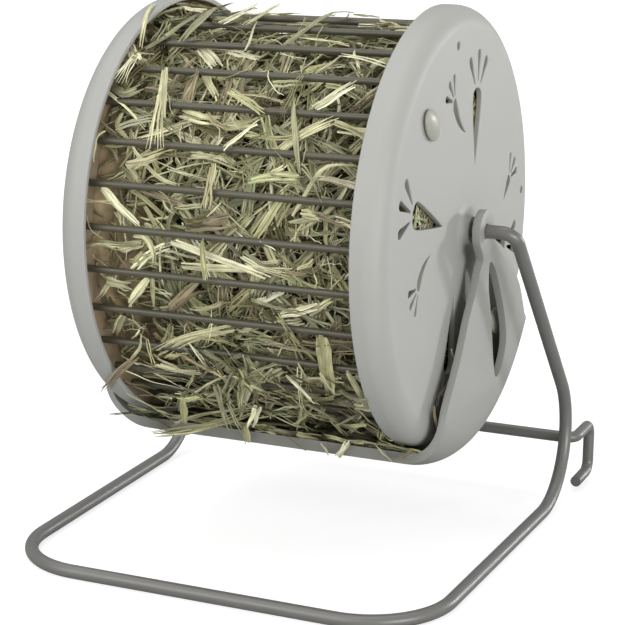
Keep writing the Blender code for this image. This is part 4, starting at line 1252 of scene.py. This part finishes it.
def hay_straws(material):
    """The loose straws in the drum, from the deep ones to those that come out between the wires."""
    rng = np.random.default_rng(11)

    def layer(*sizes, **shape):
        return hay_layer(rng, *sizes, **shape)

    fine = {"bow": 0.14, "kink": 0.5}
    layers = {
        "hay_deep": [
            layer(DEEP_MIX, 1500, (0.0655, 0.0715), 0.0572, (0.010, 0.030), (0.0012, 0.0034), 3, 5),
        ],
        "hay_deep_stalks": [
            layer(DEEP_MIX, 900, (0.0660, 0.0720), 0.058, (0.015, 0.040), (0.0006, 0.0012), 1, 6, 5, 0.9),
        ],
        "hay_middle": [
            layer(MIDDLE_MIX, 1100, (0.0695, 0.0765), 0.058, (0.010, 0.028), (0.0012, 0.0040), 4, 5,
                  lift=0.12),
            layer(MIDDLE_MIX, 420, (0.0700, 0.0770), 0.058, (0.008, 0.022), (0.0010, 0.0024), 1, 7, 4, 0.08),
        ],
        "hay_wisps": [
            layer(MIDDLE_MIX, 2300, (0.0700, 0.0790), 0.058, (0.006, 0.024), (0.0003, 0.0006), 1, 7, 3, 0.9,
                  lift=0.22, **fine),
            layer(TOP_MIX, 600, (0.0700, 0.0780), 0.058, (0.014, 0.036), (0.0006, 0.0012), 1, 7, 5, 0.9,
                  lift=0.10),
        ],
        "hay_top": [
            layer(TOP_MIX, 330, (0.0745, 0.0785), 0.057, (0.012, 0.030), (0.0014, 0.0042), 5, 7, lift=0.08),
            layer(TOP_MIX, 150, (0.0745, 0.0790), 0.056, (0.010, 0.028), (0.0010, 0.0026), 1, 8, 4, 0.07),
        ],
        "hay_between_wires": [
            between_wires(rng, 260, TOP_MIX),
            layer(TOP_MIX, 34, (0.0852, 0.0866), 0.050, (0.012, 0.022), (0.0008, 0.0028), 3, 7,
                  top=0.0880, low=0.0850, bow=0.03, lift=0.03),
            layer(TOP_MIX, 120, (0.0800, 0.0850), 0.056, (0.006, 0.016), (0.0003, 0.0006), 1, 7, 3, 0.9,
                  top=0.0880, lift=0.3, **fine),
            hay_by_left_ring(rng, 150, MIDDLE_MIX),
            hanging_hay(rng, 150, HANGING_MIX),
        ],
    }
    layers["hay_inside_caps"] = hay_in_caps(rng, DEEP_MIX)
    layers["hay_middle"].append(hay_over_bare_filling(rng, 110, BARE_MIX))
    layers["hay_wisps"].append(hay_by_right_ring(rng, 520, DEEP_MIX))
    layers["hay_chosen_straws"] = laid_straws(rng, CHOSEN_STRAWS)
    return [straw_mesh(name, groups, material) for name, groups in layers.items()]


def stage():
    """A pale floor that turns up behind the feeder, four lights and an even world."""
    pale, tree, shader = new_material("pale_floor")
    seen = tree.nodes.new("ShaderNodeLightPath").outputs["Is Camera Ray"]
    feed(tree, shader, {
        "Base Color": FLOOR_COLOUR, "Roughness": 0.9, "Emission Color": WHITE,
        "Emission Strength": calculated(tree, "MULTIPLY", seen, FLOOR_LIFT),
    })
    bend = [(1.2 + 0.8 * math.sin(a), 0.8 - 0.8 * math.cos(a)) for a in np.linspace(0.1, math.pi / 2, 16)]
    sweep = [(-3.0, 0), (1.2, 0), *bend, (2.0, 3.5)]
    points = [(x, y, z - 0.0001) for x in (-4.0, 4.0) for y, z in sweep]
    count = len(sweep)
    faces = [(k, count + k, count + k + 1, k + 1) for k in range(count - 1)]
    floor = add_piece("floor", points, faces, Matrix.Identity(4), pale)

    def area(name, place, aim, size, power):
        light = bpy.data.lights.new(name, "AREA")
        light.shape = "RECTANGLE"
        light.size, light.size_y = size
        light.energy = power
        lamp = bpy.data.objects.new(name, light)
        lamp.location = place
        lamp.rotation_euler = (Vector(aim) - Vector(place)).to_track_quat("-Z", "Y").to_euler()
        bpy.context.scene.collection.objects.link(lamp)

    area("key", (1.36, 1.70, 0.30), (0, 0, 0.12), (0.20, 0.20), 13)
    area("side_fill", (2.2, -1.3, 0.35), (0, 0, 0.1), (1.4, 0.6), 35)
    area("front_fill", (-0.9, -1.95, 1.1), (0, 0, 0.1), (1.8, 1.4), 26)
    area("overhead", (-0.4, 0.2, 2.2), (0, 0, 0), (2.2, 2.2), 24)
    world = bpy.data.worlds.new("studio")
    bpy.context.scene.world = world
    world.use_nodes = True
    feed(world.node_tree, world.node_tree.nodes["Background"], {"Color": WHITE, "Strength": 0.5})


def camera():
    """The photograph's view: right of the front, a little above."""
    data = bpy.data.cameras.new("camera")
    data.lens = CAMERA_LENS
    data.sensor_width = 36
    data.sensor_fit = "AUTO"
    data.clip_start = 0.01
    eye = Vector(CAMERA_EYE)
    back = (eye - Vector(CAMERA_TARGET)).normalized()
    right = Vector((0, 0, 1)).cross(back).normalized()
    up = back.cross(right)
    view = Matrix((right, up, back)).transposed().to_4x4() @ Matrix.Rotation(CAMERA_ROLL, 4, "Z")
    view.translation = eye
    made = bpy.data.objects.new("camera", data)
    made.matrix_world = view
    bpy.context.scene.collection.objects.link(made)
    bpy.context.scene.camera = made


bpy.context.scene.view_settings.view_transform = "Standard"
camera()
stage()

for name, side in (("lid", RIGHT_SIDE), ("left_cap", LEFT_SIDE)):
    piece = pierced_cap(name + "_moulding", side, CAP_PLASTIC)
    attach(piece, "drum")
    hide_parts(name)
for name, side in (("right_ring", RIGHT_SIDE), ("left_ring", LEFT_SIDE)):
    piece = wire_ring(name + "_moulding", side, RING_PLASTIC)
    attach(piece, "drum")
    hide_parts(name)
for name, angle in LATCH_ANGLES.items():
    piece = turn_latch(name + "_moulding", angle, KNOB_PLASTIC)
    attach(piece, name)
    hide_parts(name)
for k in range(CAGE_WIRE_COUNT):
    angle = CAGE_FIRST_ANGLE + math.tau * k / CAGE_WIRE_COUNT
    y, z = polar(CAGE_RADIUS, angle)
    ends = [(-CAGE_WIRE_END_X, y, z + AXLE_HEIGHT), (CAGE_WIRE_END_X, y, z + AXLE_HEIGHT)]
    piece = tube(f"cage_rod_{k + 1:02d}", ends, CAGE_WIRE_RADIUS, CAGE_WIRE_SIDES, CAGE_COATING)
    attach(piece, "drum")
    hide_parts(f"cage_wire_{k + 1:02d}")
HAY_HEART = heart_material()
HAY_STRAWS = hay_material()
for piece in (hay_heart(HAY_HEART), *hay_straws(HAY_STRAWS)):
    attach(piece, "drum")
    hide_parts("hay_fill")
dropped = hay_in_tray(np.random.default_rng(23), HAY_STRAWS)
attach(dropped, "tray")
tray = catch_tray(TRAY_PLASTIC)
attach(tray, "tray")
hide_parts("catch_tray")
rod = bent(STAND_CORNERS, STAND_BENDS)
piece = tube("stand_rod", rod, STAND_WIRE_RADIUS, STAND_WIRE_SIDES, STAND_COATING, 0.0003)
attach(piece, "stand")
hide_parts("stand_wire")
rod = bent(BAR_CORNERS, BAR_BENDS, math.radians(6))
piece = tube("crossbar_rod", rod, BAR_RADIUS, BAR_SIDES, STAND_COATING, 0.0004)
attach(piece, "stand")
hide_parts("rear_crossbar")
